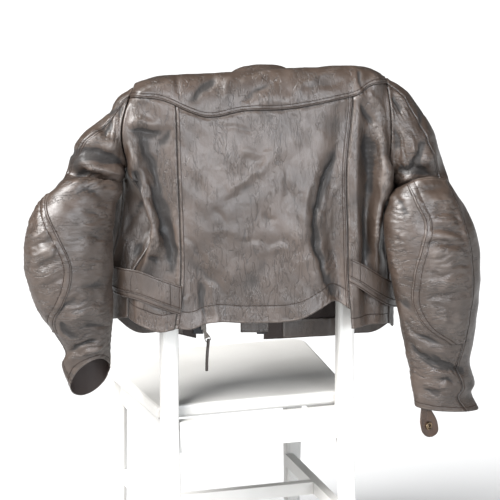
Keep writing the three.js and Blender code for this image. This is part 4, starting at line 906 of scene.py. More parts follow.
def shell_mesh(panel, gap=SEAM_GAP, skived=SKIVED, round_out=0.35):
    """Vertices and faces of a closed wall on a panel: its face, its back and a rounded rim."""
    rows, cols = panel.points.shape[:2]
    face = drawn_in(panel.points, gap)
    back = drawn_in(panel.points - panel.out * panel.thick, skived)
    count = rows * cols
    ring = border_of(rows, cols)
    outer, inner = face.reshape(-1, 3)[ring], back.reshape(-1, 3)[ring]
    middle = (outer + inner) / 2
    inside = np.vstack([drawn_in(panel.points, 2).reshape(-1, 3)[ring]])
    rim = middle + round_out * unit(panel.points.reshape(-1, 3)[ring] - inside)
    vertices = np.concatenate([face.reshape(-1, 3), back.reshape(-1, 3), rim])
    grid = np.arange(count).reshape(rows, cols)
    quads = np.stack([grid[:-1, :-1], grid[1:, :-1], grid[1:, 1:], grid[:-1, 1:]], axis=-1)
    quads = quads.reshape(-1, 4)
    rim_at = 2 * count + np.arange(len(ring))
    after = np.roll(np.arange(len(ring)), -1)
    upper = np.stack([ring, ring[after], rim_at[after], rim_at], axis=-1)
    lower = np.stack([rim_at, rim_at[after], ring[after] + count, ring + count], axis=-1)
    faces = np.concatenate([quads, quads[:, ::-1] + count, upper, lower])
    if panel.side < 0:
        faces = faces[:, ::-1]
    finish = np.concatenate([np.zeros(len(quads)), np.ones(len(quads)), np.zeros(2 * len(ring))])
    return vertices, faces, finish.astype(int)


def add_mesh(name, vertices, faces, materials, finish=None):
    mesh = bpy.data.meshes.new(name)
    mesh.from_pydata(metres(vertices).tolist(), [], [list(map(int, f)) for f in faces])
    for material in materials:
        mesh.materials.append(material)
    if finish is not None:
        mesh.polygons.foreach_set("material_index", np.asarray(finish, dtype=np.int32))
    mesh.polygons.foreach_set("use_smooth", np.ones(len(mesh.polygons), dtype=bool))
    mesh.update()
    made = bpy.data.objects.new(name, mesh)
    bpy.context.scene.collection.objects.link(made)
    return made


def keep_reading(made, name, values):
    """A number at each vertex, which the materials read by name."""
    attribute = made.data.attributes.new(name, "FLOAT", "POINT")
    attribute.data.foreach_set("value", np.asarray(values, dtype=np.float32))


def build_panel(panel, node, materials, body="root", rim=0.35):
    vertices, faces, finish = shell_mesh(panel, round_out=rim)
    made = add_mesh("leather_" + panel.name, vertices, faces, materials, finish)
    near = np.min([panel.reach[e] for e in panel.edges] or [panel.reach["top"]], axis=0)
    ring = border_of(*panel.points.shape[:2])
    # The sewn reading marks the seams and stitch rows, where the leather is painted darker as shade.
    sewn = np.zeros(near.shape)
    for edge, kind in panel.edges.items():
        if kind in ("seam", "under"):
            sewn = np.maximum(sewn, dip(panel.reach[edge], 0, 1.9))
    for edge, offset in panel.stitched:
        sewn = np.maximum(sewn, 0.8 * dip(panel.reach[edge], offset, 1.0))
    readings = {"edge_distance": near, "fold_height": panel.lift, "sewn": sewn}
    for label, grid in readings.items():
        flat = grid.ravel()
        keep_reading(made, label, np.concatenate([flat, flat, flat[ring]]))
    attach(made, body)
    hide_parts(node)
    return made


# ---------------------------------------------------------------- stitches

# A stitch, and the dark cords of painted shade laid along the groove its row lies in and along
# the line of a seam. sunk is how deep the middle of a round line lies under the face.
THREAD = {"pitch": 3.8, "long": 2.9, "radius": 0.46, "proud": 0.16}
GROOVE = {"radius": 0.95, "sunk": 0.5}
SEAM_LINE = {"radius": 1.9, "sunk": 1.3}


def stitches_on(points, out, pitch=None, start=0.0, end=None):
    """Middles, ways along and ways out of the stitches on a line, evenly spaced."""
    run = run_of(points)
    pitch = pitch or THREAD["pitch"]
    last = run[-1] if end is None else end
    marks = np.arange(start + pitch / 2, last - pitch / 2, pitch)
    before, middle, after = (
        np.stack([np.interp(m, run, points[:, k]) for k in range(3)], axis=-1)
        for m in (marks - pitch * 0.3, marks, marks + pitch * 0.3)
    )
    up = unit(np.stack([np.interp(marks, run, out[:, k]) for k in range(3)], axis=-1))
    return middle + up * THREAD["proud"], unit(after - before), up


def capsules(middles, ways, ups, long=None, radius=None):
    """Short rounded threads as one set of vertices and faces."""
    long = long or THREAD["long"]
    radius = radius or THREAD["radius"]
    stations = [(-0.5, 0.25), (-0.36, 0.85), (0.0, 1.0), (0.36, 0.85), (0.5, 0.25)]
    sides = 6
    across = unit(np.cross(ways, ups))
    ups = unit(np.cross(across, ways))
    rings = []
    for place_at, size in stations:
        for k in range(sides):
            turn = 2 * math.pi * k / sides
            off = radius * size * (math.cos(turn) * across + math.sin(turn) * ups)
            rings.append(middles + ways * long * place_at + off)
    vertices = np.stack(rings, axis=1)
    faces = []
    for s in range(len(stations) - 1):
        for k in range(sides):
            a, b = s * sides + k, s * sides + (k + 1) % sides
            faces.append([a, b, b + sides, a + sides])
    faces = np.array(faces)
    count = len(stations) * sides
    offsets = (np.arange(len(middles)) * count)[:, None, None]
    return vertices.reshape(-1, 3), (faces[None] + offsets).reshape(-1, 4)


def tube(points, radius, sides=8):
    """Vertices and faces of an open round cord along points."""
    way = unit(np.gradient(points, axis=0))
    across = unit(np.cross(way, np.roll(way, 1, axis=0) + [0.31, 0.17, 0.93]))
    up = np.cross(across, way)
    turns = np.linspace(0, 2 * math.pi, sides, endpoint=False)
    rings = [points + radius * (math.cos(t) * across + math.sin(t) * up) for t in turns]
    vertices = np.stack(rings, axis=1).reshape(-1, 3)
    faces = []
    for k in range(len(points) - 1):
        for t in range(sides):
            a, b = k * sides + t, k * sides + (t + 1) % sides
            faces.append([a, b, b + sides, a + sides])
    return vertices, faces


class Threads:
    """Every stitch, gathered into one piece, and the dark cords sunk in the leather that paint the shade
    in its seams and stitch grooves.
    """

    def __init__(self):
        self.sets = []
        self.lines = []

    def row(self, points, out, **where):
        self.sets.append(stitches_on(points, out, **where))
        # Painted shade: a dark cord in the groove under the stitch row.
        self.line(points, out, GROOVE)

    def follow(self, panel):
        for edge, offset in panel.stitched:
            self.row(*panel.row_at(edge, offset))

    def line(self, points, out, form):
        """A dark cord sunk into the leather along points, painting the shade in the groove of a seam
        line and of a stitch row.
        """
        run = run_of(points)
        at = np.linspace(0, run[-1], max(3, int(run[-1] / 3)))
        sunk = points - out * form["sunk"]
        even = np.stack([np.interp(at, run, sunk[:, k]) for k in range(3)], axis=-1)
        self.lines.append(tube(even, form["radius"], 6))

    def press(self, name, material, body="root"):
        vertices, faces, start = [], [], 0
        for line_vertices, line_faces in self.lines:
            vertices.append(line_vertices)
            faces.append(np.array(line_faces) + start)
            start += len(line_vertices)
        made = add_mesh(name, np.concatenate(vertices), np.concatenate(faces), [material])
        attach(made, body)

    def build(self, name, material, body="root"):
        middles, ways, ups = (np.concatenate([s[k] for s in self.sets]) for k in range(3))
        vertices, faces = capsules(middles, ways, ups)
        made = add_mesh(name, vertices, faces, [material])
        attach(made, body)
        return made


# ---------------------------------------------------------------- the jacket's pieces


def probe(table, fixed, start, end, axis):
    """A row of points across the middle of a sheet, for spacing its grid."""
    marks = np.linspace(start, end, PROBE)
    still = np.array([fixed])
    points = table(marks, still) if axis == "cols" else table(still, marks)
    return place(points).reshape(PROBE, 3)


def spread(table, cols, rows, step, at=None):
    """Columns and rows of a sheet at an even spacing. at is where they are measured."""
    middle = at or ((cols[0] + cols[1]) / 2, (rows[0] + rows[1]) / 2)
    across = spaced(probe(table, middle[1], cols[0], cols[1], "cols"), cols[0], cols[1], step)
    down = spaced(probe(table, middle[0], rows[0], rows[1], "rows"), rows[0], rows[1], step)
    return across, down


def panel_from(name, table, cols, rows, side, step, edges, **rest):
    across, down = spread(table, cols, rows, step)
    made = folded_panel(name, table(across, down), side, edges, **rest)
    made.cols, made.rows = across, down
    return made


ALL_ROWS = TOP_ROWS + LOW_ROWS
SEAM_LEFT = column_of(BACK_LINES, "back seam, left")
SEAM_RIGHT = column_of(BACK_LINES, "back seam, right")
FAR = last_column(BACK_LINES)


def body_panels():
    """The panels of the body, by name."""
    centre_hem = lambda c, r: back_table(BACK_HEM, c, r)
    side_hem = lambda c, r: back_table(SIDE_HEM_LEFT + SIDE_HEM_RIGHT, c, r)
    made = [
        panel_from(
            "yoke", yoke_table, (0, FAR), (0, 1), -1, FINE,
            {"top": "over", "bottom": "seam", "first": "seam", "last": "seam"},
            stitched=[("top", 3.0), ("top", 8.5)], fixed=("bottom", "first", "last"), much=0.8,
        ),
        panel_from(
            "back_centre", centre_hem, (SEAM_LEFT, SEAM_RIGHT), (0, ALL_ROWS), 1, FINE,
            {"top": "under", "bottom": "hem", "first": "seam", "last": "seam"},
            stitched=[("first", 5.8), ("last", 4.2), ("last", 8.6), ("bottom", 34)],
        ),
        panel_from(
            "back_side_left", side_hem, (0, SEAM_LEFT), (0, ALL_ROWS), 1, FINE,
            {"top": "under", "bottom": "hem", "first": "seam", "last": "seam"},
            stitched=[("bottom", 34)], fixed=("first",),
        ),
        panel_from(
            "back_side_right", side_hem, (SEAM_RIGHT, FAR), (0, ALL_ROWS), 1, FINE,
            {"top": "under", "bottom": "hem", "first": "seam", "last": "seam"},
            stitched=[("bottom", 20)], fixed=("last",),
        ),
    ]
    for side in ("left", "right"):
        lines = LEFT_FRONT_LINES if side == "left" else RIGHT_FRONT_LINES
        end, seam = ("last", "first") if side == "left" else ("first", "last")
        front = lambda c, r, s=side: front_table(s, c, r)
        under = lambda c, r, s=side: side_table(s, c, r)
        made.append(panel_from(
            "side_" + side, under, (0, 1), (0, LOW_ROWS), -1 if side == "left" else 1, PLAIN,
            {"top": "seam", "bottom": "hem", "first": "seam", "last": "seam"},
            fixed=("top", "first", "last"),
        ))
        made.append(panel_from(
            "front_" + side, front, (0, last_column(lines)), (0, ALL_ROWS), -1, PLAIN,
            {"top": "seam", "bottom": "hem", seam: "seam", end: "hem"},
            stitched=[("bottom", 22), (end, 7), (end, 18)], fixed=("top", seam),
        ))
    made.append(panel_from(
        "collar", collar_table, (-1, 1), (0, 1), -1, FINE,
        {"top": "seam", "bottom": "hem", "first": "hem", "last": "hem"},
        stitched=[("bottom", 4)], fixed=("top",), much=0.7,
    ))
    return {panel.name: panel for panel in made}


def sleeve_panel(side, half, step):
    table = lambda c, r: sleeve_table(side, half, c, r)
    rings = len(SLEEVES[side]) - 1
    facing = (side == "left") == (half == "back")
    rows = spaced(probe(table, 1.0, 0, rings, "rows"), 0, rings, step)
    cols = spaced(probe(table, 9.0, 0, 2, "cols"), 0, 2, step)
    if half == "back":
        lines = [1 + k / 40 for k in (-4, -2.4, -1.2, -0.5, 0, 0.5, 1.2, 2.4, 4)]
        marks = [e + k for e in ELBOW[side] for k in (-0.05, 0, 0.04, 0.1, 0.2)]
        cols = np.unique(np.concatenate([cols[np.abs(cols - 1) > 0.11], lines]))
        kept = [r for r in rows if min(abs(r - e - 0.07) for e in ELBOW[side]) > 0.16]
        rows = np.unique(np.concatenate([kept, marks]))
    edges = {"top": "seam", "bottom": "hem", "first": "seam", "last": "seam"}
    made = folded_panel(
        f"sleeve_{half}_{side}", table(cols, rows), 1 if facing else -1, edges,
        stitched=[("bottom", 12), ("first", 4.5)], fixed=("top",), much=1.15,
    )
    made.cols, made.rows = cols, rows
    return made


PAD = {"base": 0.5, "proud": 2.4, "thick": 2.4, "stitches": (4.5, 15.5)}


def elbow_panel(side, sleeve):
    """The padded piece over the elbow, on the sleeve's own points."""
    first, last = ELBOW[side]
    rows = (sleeve.rows >= first - 1e-6) & (sleeve.rows <= last + 1e-6)
    cols = sleeve.cols <= 1 + 1e-6
    base = sleeve.points[rows][:, cols]
    out = sleeve.out[rows][:, cols]
    table = sleeve_table(side, "back", sleeve.cols[cols], sleeve.rows[rows])
    edges = {"top": "hem", "bottom": "hem", "last": "hem"}
    sewn = [("last", offset) for offset in PAD["stitches"]]
    made = Panel("elbow_" + side, base, sleeve.side, edges, sewn, PAD["thick"])
    near = np.min([made.reach[e] for e in EDGES], axis=0)
    rise = PAD["base"] + PAD["thick"] * smooth(near / 2.6) + 0.15
    rise += PAD["proud"] * smooth((near - 14) / 22)
    for stitch in PAD["stitches"]:
        rise -= 1.0 * dip(made.reach["last"], stitch, 1.9) * smooth(near / 3)
    rise += creased(made.name, table) * smooth((near - 6) / 14)
    rise += 0.45 * PUCKERS(base) * np.exp(-np.abs(near - 10) / 9)
    made.raised(rise, out)
    made.lift = rise - PAD["base"] - PAD["thick"]
    return made


def plain_panel(name, base, side, edges, thick, rise=0.0, stitched=(), much=0.3):
    """A piece with no folds of its own: a strap, strip, band or tab."""
    made = Panel(name, base, side, edges, stitched, thick)
    lift = rise + rumpled(base, much)
    for edge, kind in edges.items():
        lift = lift + EDGE_FORMS[kind](made.reach[edge])
    for edge, offset in made.stitched:
        lift = lift - 0.4 * dip(made.reach[edge], offset, 1.1)
    return made.raised(lift, directions(base, side))


ALL_ENDS = {"top": "end", "bottom": "end", "first": "end", "last": "end"}


OUTER_STRAP = {"thick": 3.0, "length": 1, "down": 0, "in": 0, "across": [5.0, 24.0]}
UNDER_STRAP = {"thick": 1.6, "length": 0.6, "down": 12, "in": 3.5, "across": []}
FACING = {"thick": 1.6, "behind": 0.4, "stitch": 3}


def strap_panel(side, under=False):
    """A waist strap, or the shorter layer under it, with rows of stitches along and across."""
    form = UNDER_STRAP if under else OUTER_STRAP
    ends = (0, (len(STRAPS[side]) - 1) * form["length"])
    table = lambda c, r: strap_table(side, c, r, form["down"])
    cols, rows = spread(table, ends, (0, 1), FINE)
    base = place(table(cols, rows))
    turned = -1 if side == "left" else 1
    base = base - directions(base, turned) * form["in"]
    name = "waist_strap_under_" + side if under else "waist_strap_" + side
    sewn = [("top", 3.4), ("bottom", 3.4)] + [("first", offset) for offset in form["across"]]
    return plain_panel(name, base, turned, ALL_ENDS, form["thick"], 0.0, sewn, 0.5)


def strip_panel(name, side, strip, sewn=()):
    """A zip tape or the wind flap, along a front's open edge."""
    table = lambda c, r: edge_strip(side, strip, c, r)
    cols, rows = spread(table, (0, 1), (0, 1), FINE, at=(0.5, 0.5))
    if strip is ZIP:
        cols = np.linspace(0, 1, 9)
    base = place(table(cols, rows))
    turned = -1 if side == "left" else 1
    return plain_panel(name, base, turned, ALL_ENDS, strip["thick"], 0.0, sewn, 0.25)


def facing_panel(side, front):
    """The turned-in band inside a front's hem, on the front's own points."""
    lines = LEFT_FRONT_LINES if side == "left" else RIGHT_FRONT_LINES
    far = last_column(lines)
    rows = front.rows >= ALL_ROWS - 1
    cols = front.cols <= far - 1 if side == "left" else front.cols >= 1
    base = front.points[rows][:, cols] - front.out[rows][:, cols] * (LEATHER + FACING["behind"])
    sewn = [("top", FACING["stitch"])]
    return plain_panel("hem_facing_" + side, base, -1, ALL_ENDS, FACING["thick"], 0.0, sewn, 0.0)


def sleeve_normal(side, at, angle):
    """The way out of a sleeve at a place along its rings and an angle round it."""
    last = len(SLEEVES[side]) - 1
    point = lambda a, t: place(sleeve_point(side, np.clip(a, 0, last), t))
    around = point(at, angle + 4) - point(at, angle - 4)
    down = point(at + 0.2, angle) - point(at - 0.2, angle)
    out = unit(np.cross(down, around))
    return out if side == "left" else -out


def tab_points():
    """The snap tab: from inside the right cuff, along its wall, then hanging below the rim."""
    rim, rows = 3, 12
    last = len(SLEEVES["right"]) - 1
    inside = lambda at, angle: place(sleeve_point("right", at, angle)) + sleeve_normal(
        "right", at, angle
    ) * -(LEATHER + TAB["clear"])
    c, r = np.meshgrid(np.linspace(0, 1, 15), np.linspace(0, rows, 49))
    angle = TAB["angle"] + TAB["span"] * (c - 0.5)
    within = inside(last - TAB["inside"] * (1 - np.minimum(r, rim) / rim), angle)
    hang = np.clip((r - rim) / (rows - rim), 0, 1)
    middle = inside(np.full(c.shape, float(last)), np.full(c.shape, float(TAB["angle"])))
    across = inside(np.full(c.shape, float(last)), angle) - middle
    full = mix(1, TAB["wider"], smooth(hang / 0.6))
    end = np.where(hang > 0.72, np.sqrt(1 - ((hang - 0.72) / 0.285) ** 2 * (hang > 0.72)), 1)
    fall = np.stack([hang * TAB["drift"], hang * 0, -TAB["hang"] * hang], axis=-1)
    below = middle + across * (full * end)[..., None] + fall
    return np.where((r <= rim)[..., None], within, below)


# ---------------------------------------------------------------- zip, pull and snap

SLIDER_DROP = 534
HINGE = {"over": -0.4, "ahead": 6.1, "under": -1}  # the bail's bar, from the zip's outer edge
PULL = {"length": 36, "bar": 1.6, "tilt": 20, "thick": 1.6}
LANYARD = {"wide": 5.5, "layer": 1.1, "length": 64, "tilt": -4, "slack": 1.5}
TEETH = {"pitch": 2.1, "wide": 3.4, "high": 1.25, "deep": 2.3}


def hinge_place():
    edge = front_edge("left", np.array(float(SLIDER_DROP)))
    edge = edge + [ZIP["out"], -(LEATHER + ZIP["behind"]), 0]
    return place(edge) + [HINGE["over"], HINGE["ahead"] - ZIP["thick"] / 2, HINGE["under"]]


def turned_down(tilt, long):
    """A point hanging long below another, leaning by tilt degrees."""
    return np.array([math.sin(math.radians(tilt)), 0, -math.cos(math.radians(tilt))]) * long


def lanyard_points():
    """The leather thong: folded over the pull's lower bar, with both ends hanging."""
    bar = hinge_place() + turned_down(PULL["tilt"], PULL["length"] - PULL["bar"] / 2)
    loop = PULL["thick"] / 2 + 0.9
    top = PULL["bar"] / 2 + LANYARD["slack"] + 0.5
    # y and z down one side, from the free end to the top of the loop
    half = [
        (-0.62, -62), (-0.6, -46), (-0.64, -30), (-0.6, -16), (-1.0, -10), (-loop, -6),
        (-loop, top - 1.4), (-loop * 0.7, top - 0.3), (0, top),
    ]
    path = np.array(half + [(-y, z) for y, z in half[-2::-1]], float)
    run = run_of(path)
    marks = np.linspace(0, run[-1], 110)
    y, z = (np.interp(marks, run, path[:, k]) for k in (0, 1))
    lean = math.radians(LANYARD["tilt"])
    swing = 0.9 * np.sin(z / 15.0) * np.clip(-z / 60, 0, 1)
    wide = np.linspace(-0.5, 0.5, 9) * LANYARD["wide"]
    x = (swing - z * math.sin(lean))[:, None] + wide[None, :]
    down = z[:, None] * math.cos(lean) + x * 0
    twist = -0.00048 * z[:, None] * wide[None, :]
    points = np.stack([x, y[:, None] + twist, down], axis=-1)
    return points + bar


def teeth_mesh(points, way_out):
    """Zip teeth along a line: vertices and faces of small rounded blocks."""
    run = run_of(points)
    marks = np.arange(TEETH["pitch"], run[-1] - 2, TEETH["pitch"])
    at = np.stack([np.interp(marks, run, points[:, k]) for k in range(3)], axis=-1)
    along = unit(np.gradient(at, axis=0))
    out = unit(way_out - (way_out * along).sum(axis=-1, keepdims=True) * along)
    face = np.cross(along, out)
    corners = []
    for u in (-0.5, 0.5):
        for v, narrow in ((-0.5, 1.0), (0.5, 0.72)):
            for w in (-0.5, 0.5):
                corners.append(
                    at + out * v * TEETH["wide"] + along * u * TEETH["high"] * narrow
                    + face * w * TEETH["deep"] * narrow
                )
    vertices = np.stack(corners, axis=1).reshape(-1, 3)
    faces = np.array([
        [0, 1, 3, 2], [4, 6, 7, 5], [0, 4, 5, 1], [2, 3, 7, 6], [0, 2, 6, 4], [1, 5, 7, 3],
    ])
    offsets = (np.arange(len(marks)) * 8)[:, None, None]
    return vertices, (faces[None] + offsets).reshape(-1, 4)


# ---------------------------------------------------------------- materials


def add_node(tree, kind, values=None, **settings):
    """A shader node. values sets its inputs by name or number, from a value or another socket."""
    node = tree.nodes.new(kind)
    for name, setting in settings.items():
        setattr(node, name, setting)
    for name, value in (values or {}).items():
        if isinstance(value, bpy.types.NodeSocket):
            tree.links.new(value, node.inputs[name])
        else:
            node.inputs[name].default_value = value
    return node


def maths(tree, operation, a, b=0.0, c=0.0, clamp=False):
    made = add_node(tree, "ShaderNodeMath", {0: a, 1: b, 2: c}, operation=operation)
    made.use_clamp = clamp
    return made.outputs[0]


def remap(tree, value, low, high, to_low=0.0, to_high=1.0):
    made = add_node(tree, "ShaderNodeMapRange", {
        "Value": value, "From Min": low, "From Max": high, "To Min": to_low, "To Max": to_high,
    }, interpolation_type="SMOOTHSTEP")
    return made.outputs["Result"]


def mixed(tree, share, a, b):
    made = add_node(tree, "ShaderNodeMix", data_type="RGBA")
    for name, value in (("Factor_Float", share), ("A_Color", a), ("B_Color", b)):
        socket = next(s for s in made.inputs if s.identifier == name)
        if isinstance(value, bpy.types.NodeSocket):
            tree.links.new(value, socket)
        else:
            socket.default_value = value
    return next(s for s in made.outputs if s.identifier == "Result_Color")


def noise(tree, where, scale, detail=2.0, roughness=0.5, distortion=0.0, kind="FBM"):
    return add_node(tree, "ShaderNodeTexNoise", {
        "Vector": where, "Scale": scale, "Detail": detail, "Roughness": roughness,
        "Distortion": distortion,
    }, noise_type=kind).outputs["Fac"]


def new_group(name, inputs, outputs):
    """A node group with named sockets: rows of name and socket type."""
    tree = bpy.data.node_groups.new(name, "ShaderNodeTree")
    for label, kind in inputs:
        tree.interface.new_socket(label, in_out="INPUT", socket_type=kind)
    for label, kind in outputs:
        tree.interface.new_socket(label, in_out="OUTPUT", socket_type=kind)
    source = tree.nodes.new("NodeGroupInput")
    result = tree.nodes.new("NodeGroupOutput")
    return tree, source.outputs, result.inputs


def place_in_millimetres():
    tree, _, result = new_group("place_in_millimetres", [], [("Place", "NodeSocketVector")])
    spot = add_node(tree, "ShaderNodeTexCoord").outputs["Object"]
    scaled = add_node(tree, "ShaderNodeVectorMath", {0: spot, "Scale": 1000.0}, operation="SCALE")
    tree.links.new(scaled.outputs[0], result["Place"])
    return tree


def wrinkle_lines(tree, where, scale, thin, patch, share):
    """Thin wandering lines in patches: a mask from 0 to 1."""
    field = noise(tree, where, scale, 2.0, 0.45, 0.7)
    near = maths(tree, "ABSOLUTE", maths(tree, "SUBTRACT", field, 0.5))
    line = remap(tree, near, 0.0, thin, 1.0, 0.0)
    return maths(tree, "MULTIPLY", line, remap(tree, noise(tree, where, patch, 1.0), share, share + 0.1))


def leather_grain():
    """The pebbled grain and the fine creases of worn leather, as a height in millimetres."""
    tree, source, result = new_group(
        "leather_grain",
        [("Place", "NodeSocketVector"), ("Creasing", "NodeSocketFloat"),
         ("Stretch", "NodeSocketVector")],
        [("Height", "NodeSocketFloat"), ("Creases", "NodeSocketFloat")],
    )
    where = source["Place"]
    cells = add_node(
        tree, "ShaderNodeTexVoronoi", {"Vector": where, "Scale": 0.62, "Randomness": 0.9},
        feature="DISTANCE_TO_EDGE",
    ).outputs["Distance"]
    pebble = remap(tree, cells, 0.0, 0.35, 0.0, 0.10)
    small = noise(tree, where, 1.4, 2.0, 0.6)
    pulled = add_node(tree, "ShaderNodeVectorMath", {0: where, 1: source["Stretch"]},
                      operation="MULTIPLY").outputs[0]
    long_lines = wrinkle_lines(tree, pulled, 0.075, 0.030, 0.030, 0.45)
    short_lines = wrinkle_lines(tree, pulled, 0.17, 0.045, 0.045, 0.49)
    creases = maths(tree, "MAXIMUM", long_lines, short_lines)
    creases = maths(tree, "MULTIPLY", creases, source["Creasing"])
    height = maths(tree, "MULTIPLY_ADD", creases, -0.5, pebble)
    height = maths(tree, "MULTIPLY_ADD", small, 0.10, height)
    soft = noise(tree, pulled, 0.10, 2.0, 0.5)
    height = maths(tree, "MULTIPLY_ADD", soft, 1.1, height)
    tree.links.new(height, result["Height"])
    tree.links.new(creases, result["Creases"])
    return tree


# The colour of the shade painted into folds, wrinkle lines, seams and stitch rows.
PAINTED_SHADE_BROWN = (0.005, 0.003, 0.002, 1)


def leather_wear_and_painted_light():
    """Colour and gloss of leather: painted shade in its folds, fine wrinkles, seams and stitch rows;
    edges scuffed pale; crests made pale, partly as worn leather and partly as a painted highlight.
    """
    tree, source, result = new_group(
        "leather_wear_and_painted_light",
        [
            ("Place", "NodeSocketVector"), ("Creases", "NodeSocketFloat"),
            ("Dark", "NodeSocketColor"), ("Middle", "NodeSocketColor"), ("Worn_And_Highlight", "NodeSocketColor"),
        ],
        [("Color", "NodeSocketColor"), ("Roughness", "NodeSocketFloat")],
    )
    where = source["Place"]
    fold = add_node(tree, "ShaderNodeAttribute", attribute_name="fold_height").outputs["Fac"]
    edge = add_node(tree, "ShaderNodeAttribute", attribute_name="edge_distance").outputs["Fac"]
    patchy = noise(tree, where, 0.012, 4.0, 0.6)
    blotch = remap(tree, patchy, 0.36, 0.66)
    # Crests are made paler, partly as worn leather and partly as a painted highlight; edges are scuffed
    # pale as worn leather.
    crest = remap(tree, fold, 0.8, 4.0)
    crest_wear_and_highlight = maths(tree, "MULTIPLY", remap(tree, noise(tree, where, 0.05, 2.0, 0.5), 0.3, 0.7), crest)
    rim = maths(tree, "MULTIPLY", remap(tree, edge, 2.0, 3.2), remap(tree, edge, 5.0, 3.4))
    scuff = remap(tree, noise(tree, where, 0.08, 2.0, 0.5), 0.35, 0.6)
    # worn: the pale mask of scuffed edges and of crests, which carry a painted highlight as well.
    worn = maths(tree, "MAXIMUM", crest_wear_and_highlight, maths(tree, "MULTIPLY", rim, scuff))
    # Painted shade: the colour darkens where a fold goes in, as if shaded.
    trough = remap(tree, fold, -1.0, -3.6)
    sewn = add_node(tree, "ShaderNodeAttribute", attribute_name="sewn").outputs["Fac"]
    base = mixed(tree, maths(tree, "MULTIPLY_ADD", blotch, 0.75, 0.25), source["Dark"], source["Middle"])
    base = mixed(tree, maths(tree, "MULTIPLY", worn, 0.4), base, source["Worn_And_Highlight"])
    # Painted shade in the folds.
    base = mixed(tree, maths(tree, "MULTIPLY", trough, 0.94), base, PAINTED_SHADE_BROWN)
    # Painted shade in the fine wrinkle lines.
    base = mixed(tree, maths(tree, "MULTIPLY", source["Creases"], 0.5), base, PAINTED_SHADE_BROWN)
    # Painted shade along the seams and stitch rows.
    base = mixed(tree, maths(tree, "MULTIPLY", sewn, 0.75), base, PAINTED_SHADE_BROWN)
    rough = maths(tree, "MULTIPLY_ADD", blotch, -0.05, 0.43)
    rough = maths(tree, "MULTIPLY_ADD", worn, 0.08, rough)
    rough = maths(tree, "MULTIPLY_ADD", trough, 0.4, rough)
    tree.links.new(base, result["Color"])
    tree.links.new(rough, result["Roughness"])
    return tree


def cloth_weave():
    """A fine twill: its height and a mask of its raised threads."""
    tree, source, result = new_group(
        "cloth_weave",
        [("Place", "NodeSocketVector"), ("Pitch", "NodeSocketFloat")],
        [("Height", "NodeSocketFloat"), ("Threads", "NodeSocketFloat")],
    )
    parts = add_node(tree, "ShaderNodeSeparateXYZ", {0: source["Place"]}).outputs
    pitch = maths(tree, "DIVIDE", 2 * math.pi, source["Pitch"])
    slant = maths(tree, "ADD", maths(tree, "ADD", parts["X"], parts["Y"]), parts["Z"])
    other = maths(tree, "SUBTRACT", maths(tree, "ADD", parts["X"], parts["Y"]), parts["Z"])
    a = maths(tree, "SINE", maths(tree, "MULTIPLY", slant, pitch))
    b = maths(tree, "SINE", maths(tree, "MULTIPLY", other, pitch))
    both = maths(tree, "MULTIPLY_ADD", b, 0.4, a)
    tree.links.new(maths(tree, "MULTIPLY", both, 0.08), result["Height"])
    tree.links.new(remap(tree, both, -1.0, 1.2), result["Threads"])
    return tree


class Finish:
    """A material with one Principled shader, filled in node by node."""

    def __init__(self, name, **constant):
        self.material = bpy.data.materials.new(name)
        self.material.use_nodes = True
        self.tree = self.material.node_tree
        self.shader = self.tree.nodes["Principled BSDF"]
        for label, value in constant.items():
            self.shader.inputs[label.replace("_", " ")].default_value = value

    def group(self, name, values):
        made = add_node(self.tree, "ShaderNodeGroup", node_tree=bpy.data.node_groups[name])
        for label, value in values.items():
            if isinstance(value, bpy.types.NodeSocket):
                self.tree.links.new(value, made.inputs[label])
            else:
                made.inputs[label].default_value = value
        return made.outputs

    def place(self):
        return self.group("place_in_millimetres", {})["Place"]

    def set(self, **sockets):
        for label, socket in sockets.items():
            self.tree.links.new(socket, self.shader.inputs[label.replace("_", " ")])

    def bump(self, height, strength=1.0):
        values = {"Strength": strength, "Distance": 0.001, "Height": height}
        made = add_node(self.tree, "ShaderNodeBump", values)
        self.tree.links.new(made.outputs["Normal"], self.shader.inputs["Normal"])


# The pale colour is for scuffed edges and for crests, where it is partly a painted highlight.
LEATHER_COLOURS = {
    "Dark": (0.018, 0.011, 0.007, 1),
    "Middle": (0.043, 0.030, 0.023, 1),
    "Worn_And_Highlight": (0.10, 0.080, 0.068, 1),
}


LONG_WAY = (1.0, 1.0, 0.30)  # wrinkles that run down a piece
CROSS_WAY = (0.26, 0.5, 1.1)  # and across it


def leather(name, creasing=1.0, shine=0.18, colours=LEATHER_COLOURS, stretch=LONG_WAY):
    made = Finish(name, Coat_Weight=shine, Coat_Roughness=0.32, Specular_IOR_Level=0.5)
    place_at = made.place()
    grain = made.group("leather_grain", {"Place": place_at, "Creasing": creasing,
                                        "Stretch": stretch})
    # Its colours carry painted shade in folds and seams and a painted highlight on crests, besides
    # scuffed and worn leather.
    wear_and_shade = made.group("leather_wear_and_painted_light", {"Place": place_at, "Creases": grain["Creases"], **colours})
    made.set(Base_Color=wear_and_shade["Color"], Roughness=wear_and_shade["Roughness"])
    made.bump(grain["Height"], 0.9)
    return made.material


def lining(name):
    made = Finish(name, Roughness=0.6, Specular_IOR_Level=0.3)
    place_at = made.place()
    weave = made.group("cloth_weave", {"Place": place_at, "Pitch": 1.1})
    dark, light = (0.010, 0.006, 0.005, 1), (0.026, 0.016, 0.013, 1)
    made.set(Base_Color=mixed(made.tree, weave["Threads"], dark, light))
    made.bump(weave["Height"], 0.6)
    return made.material


def tape(name):
    made = Finish(name, Roughness=0.85)
    weave = made.group("cloth_weave", {"Place": made.place(), "Pitch": 1.6})
    dark, light = (0.008, 0.008, 0.009, 1), (0.03, 0.03, 0.033, 1)
    made.set(Base_Color=mixed(made.tree, weave["Threads"], dark, light))
    made.bump(weave["Height"], 1.0)
    return made.material


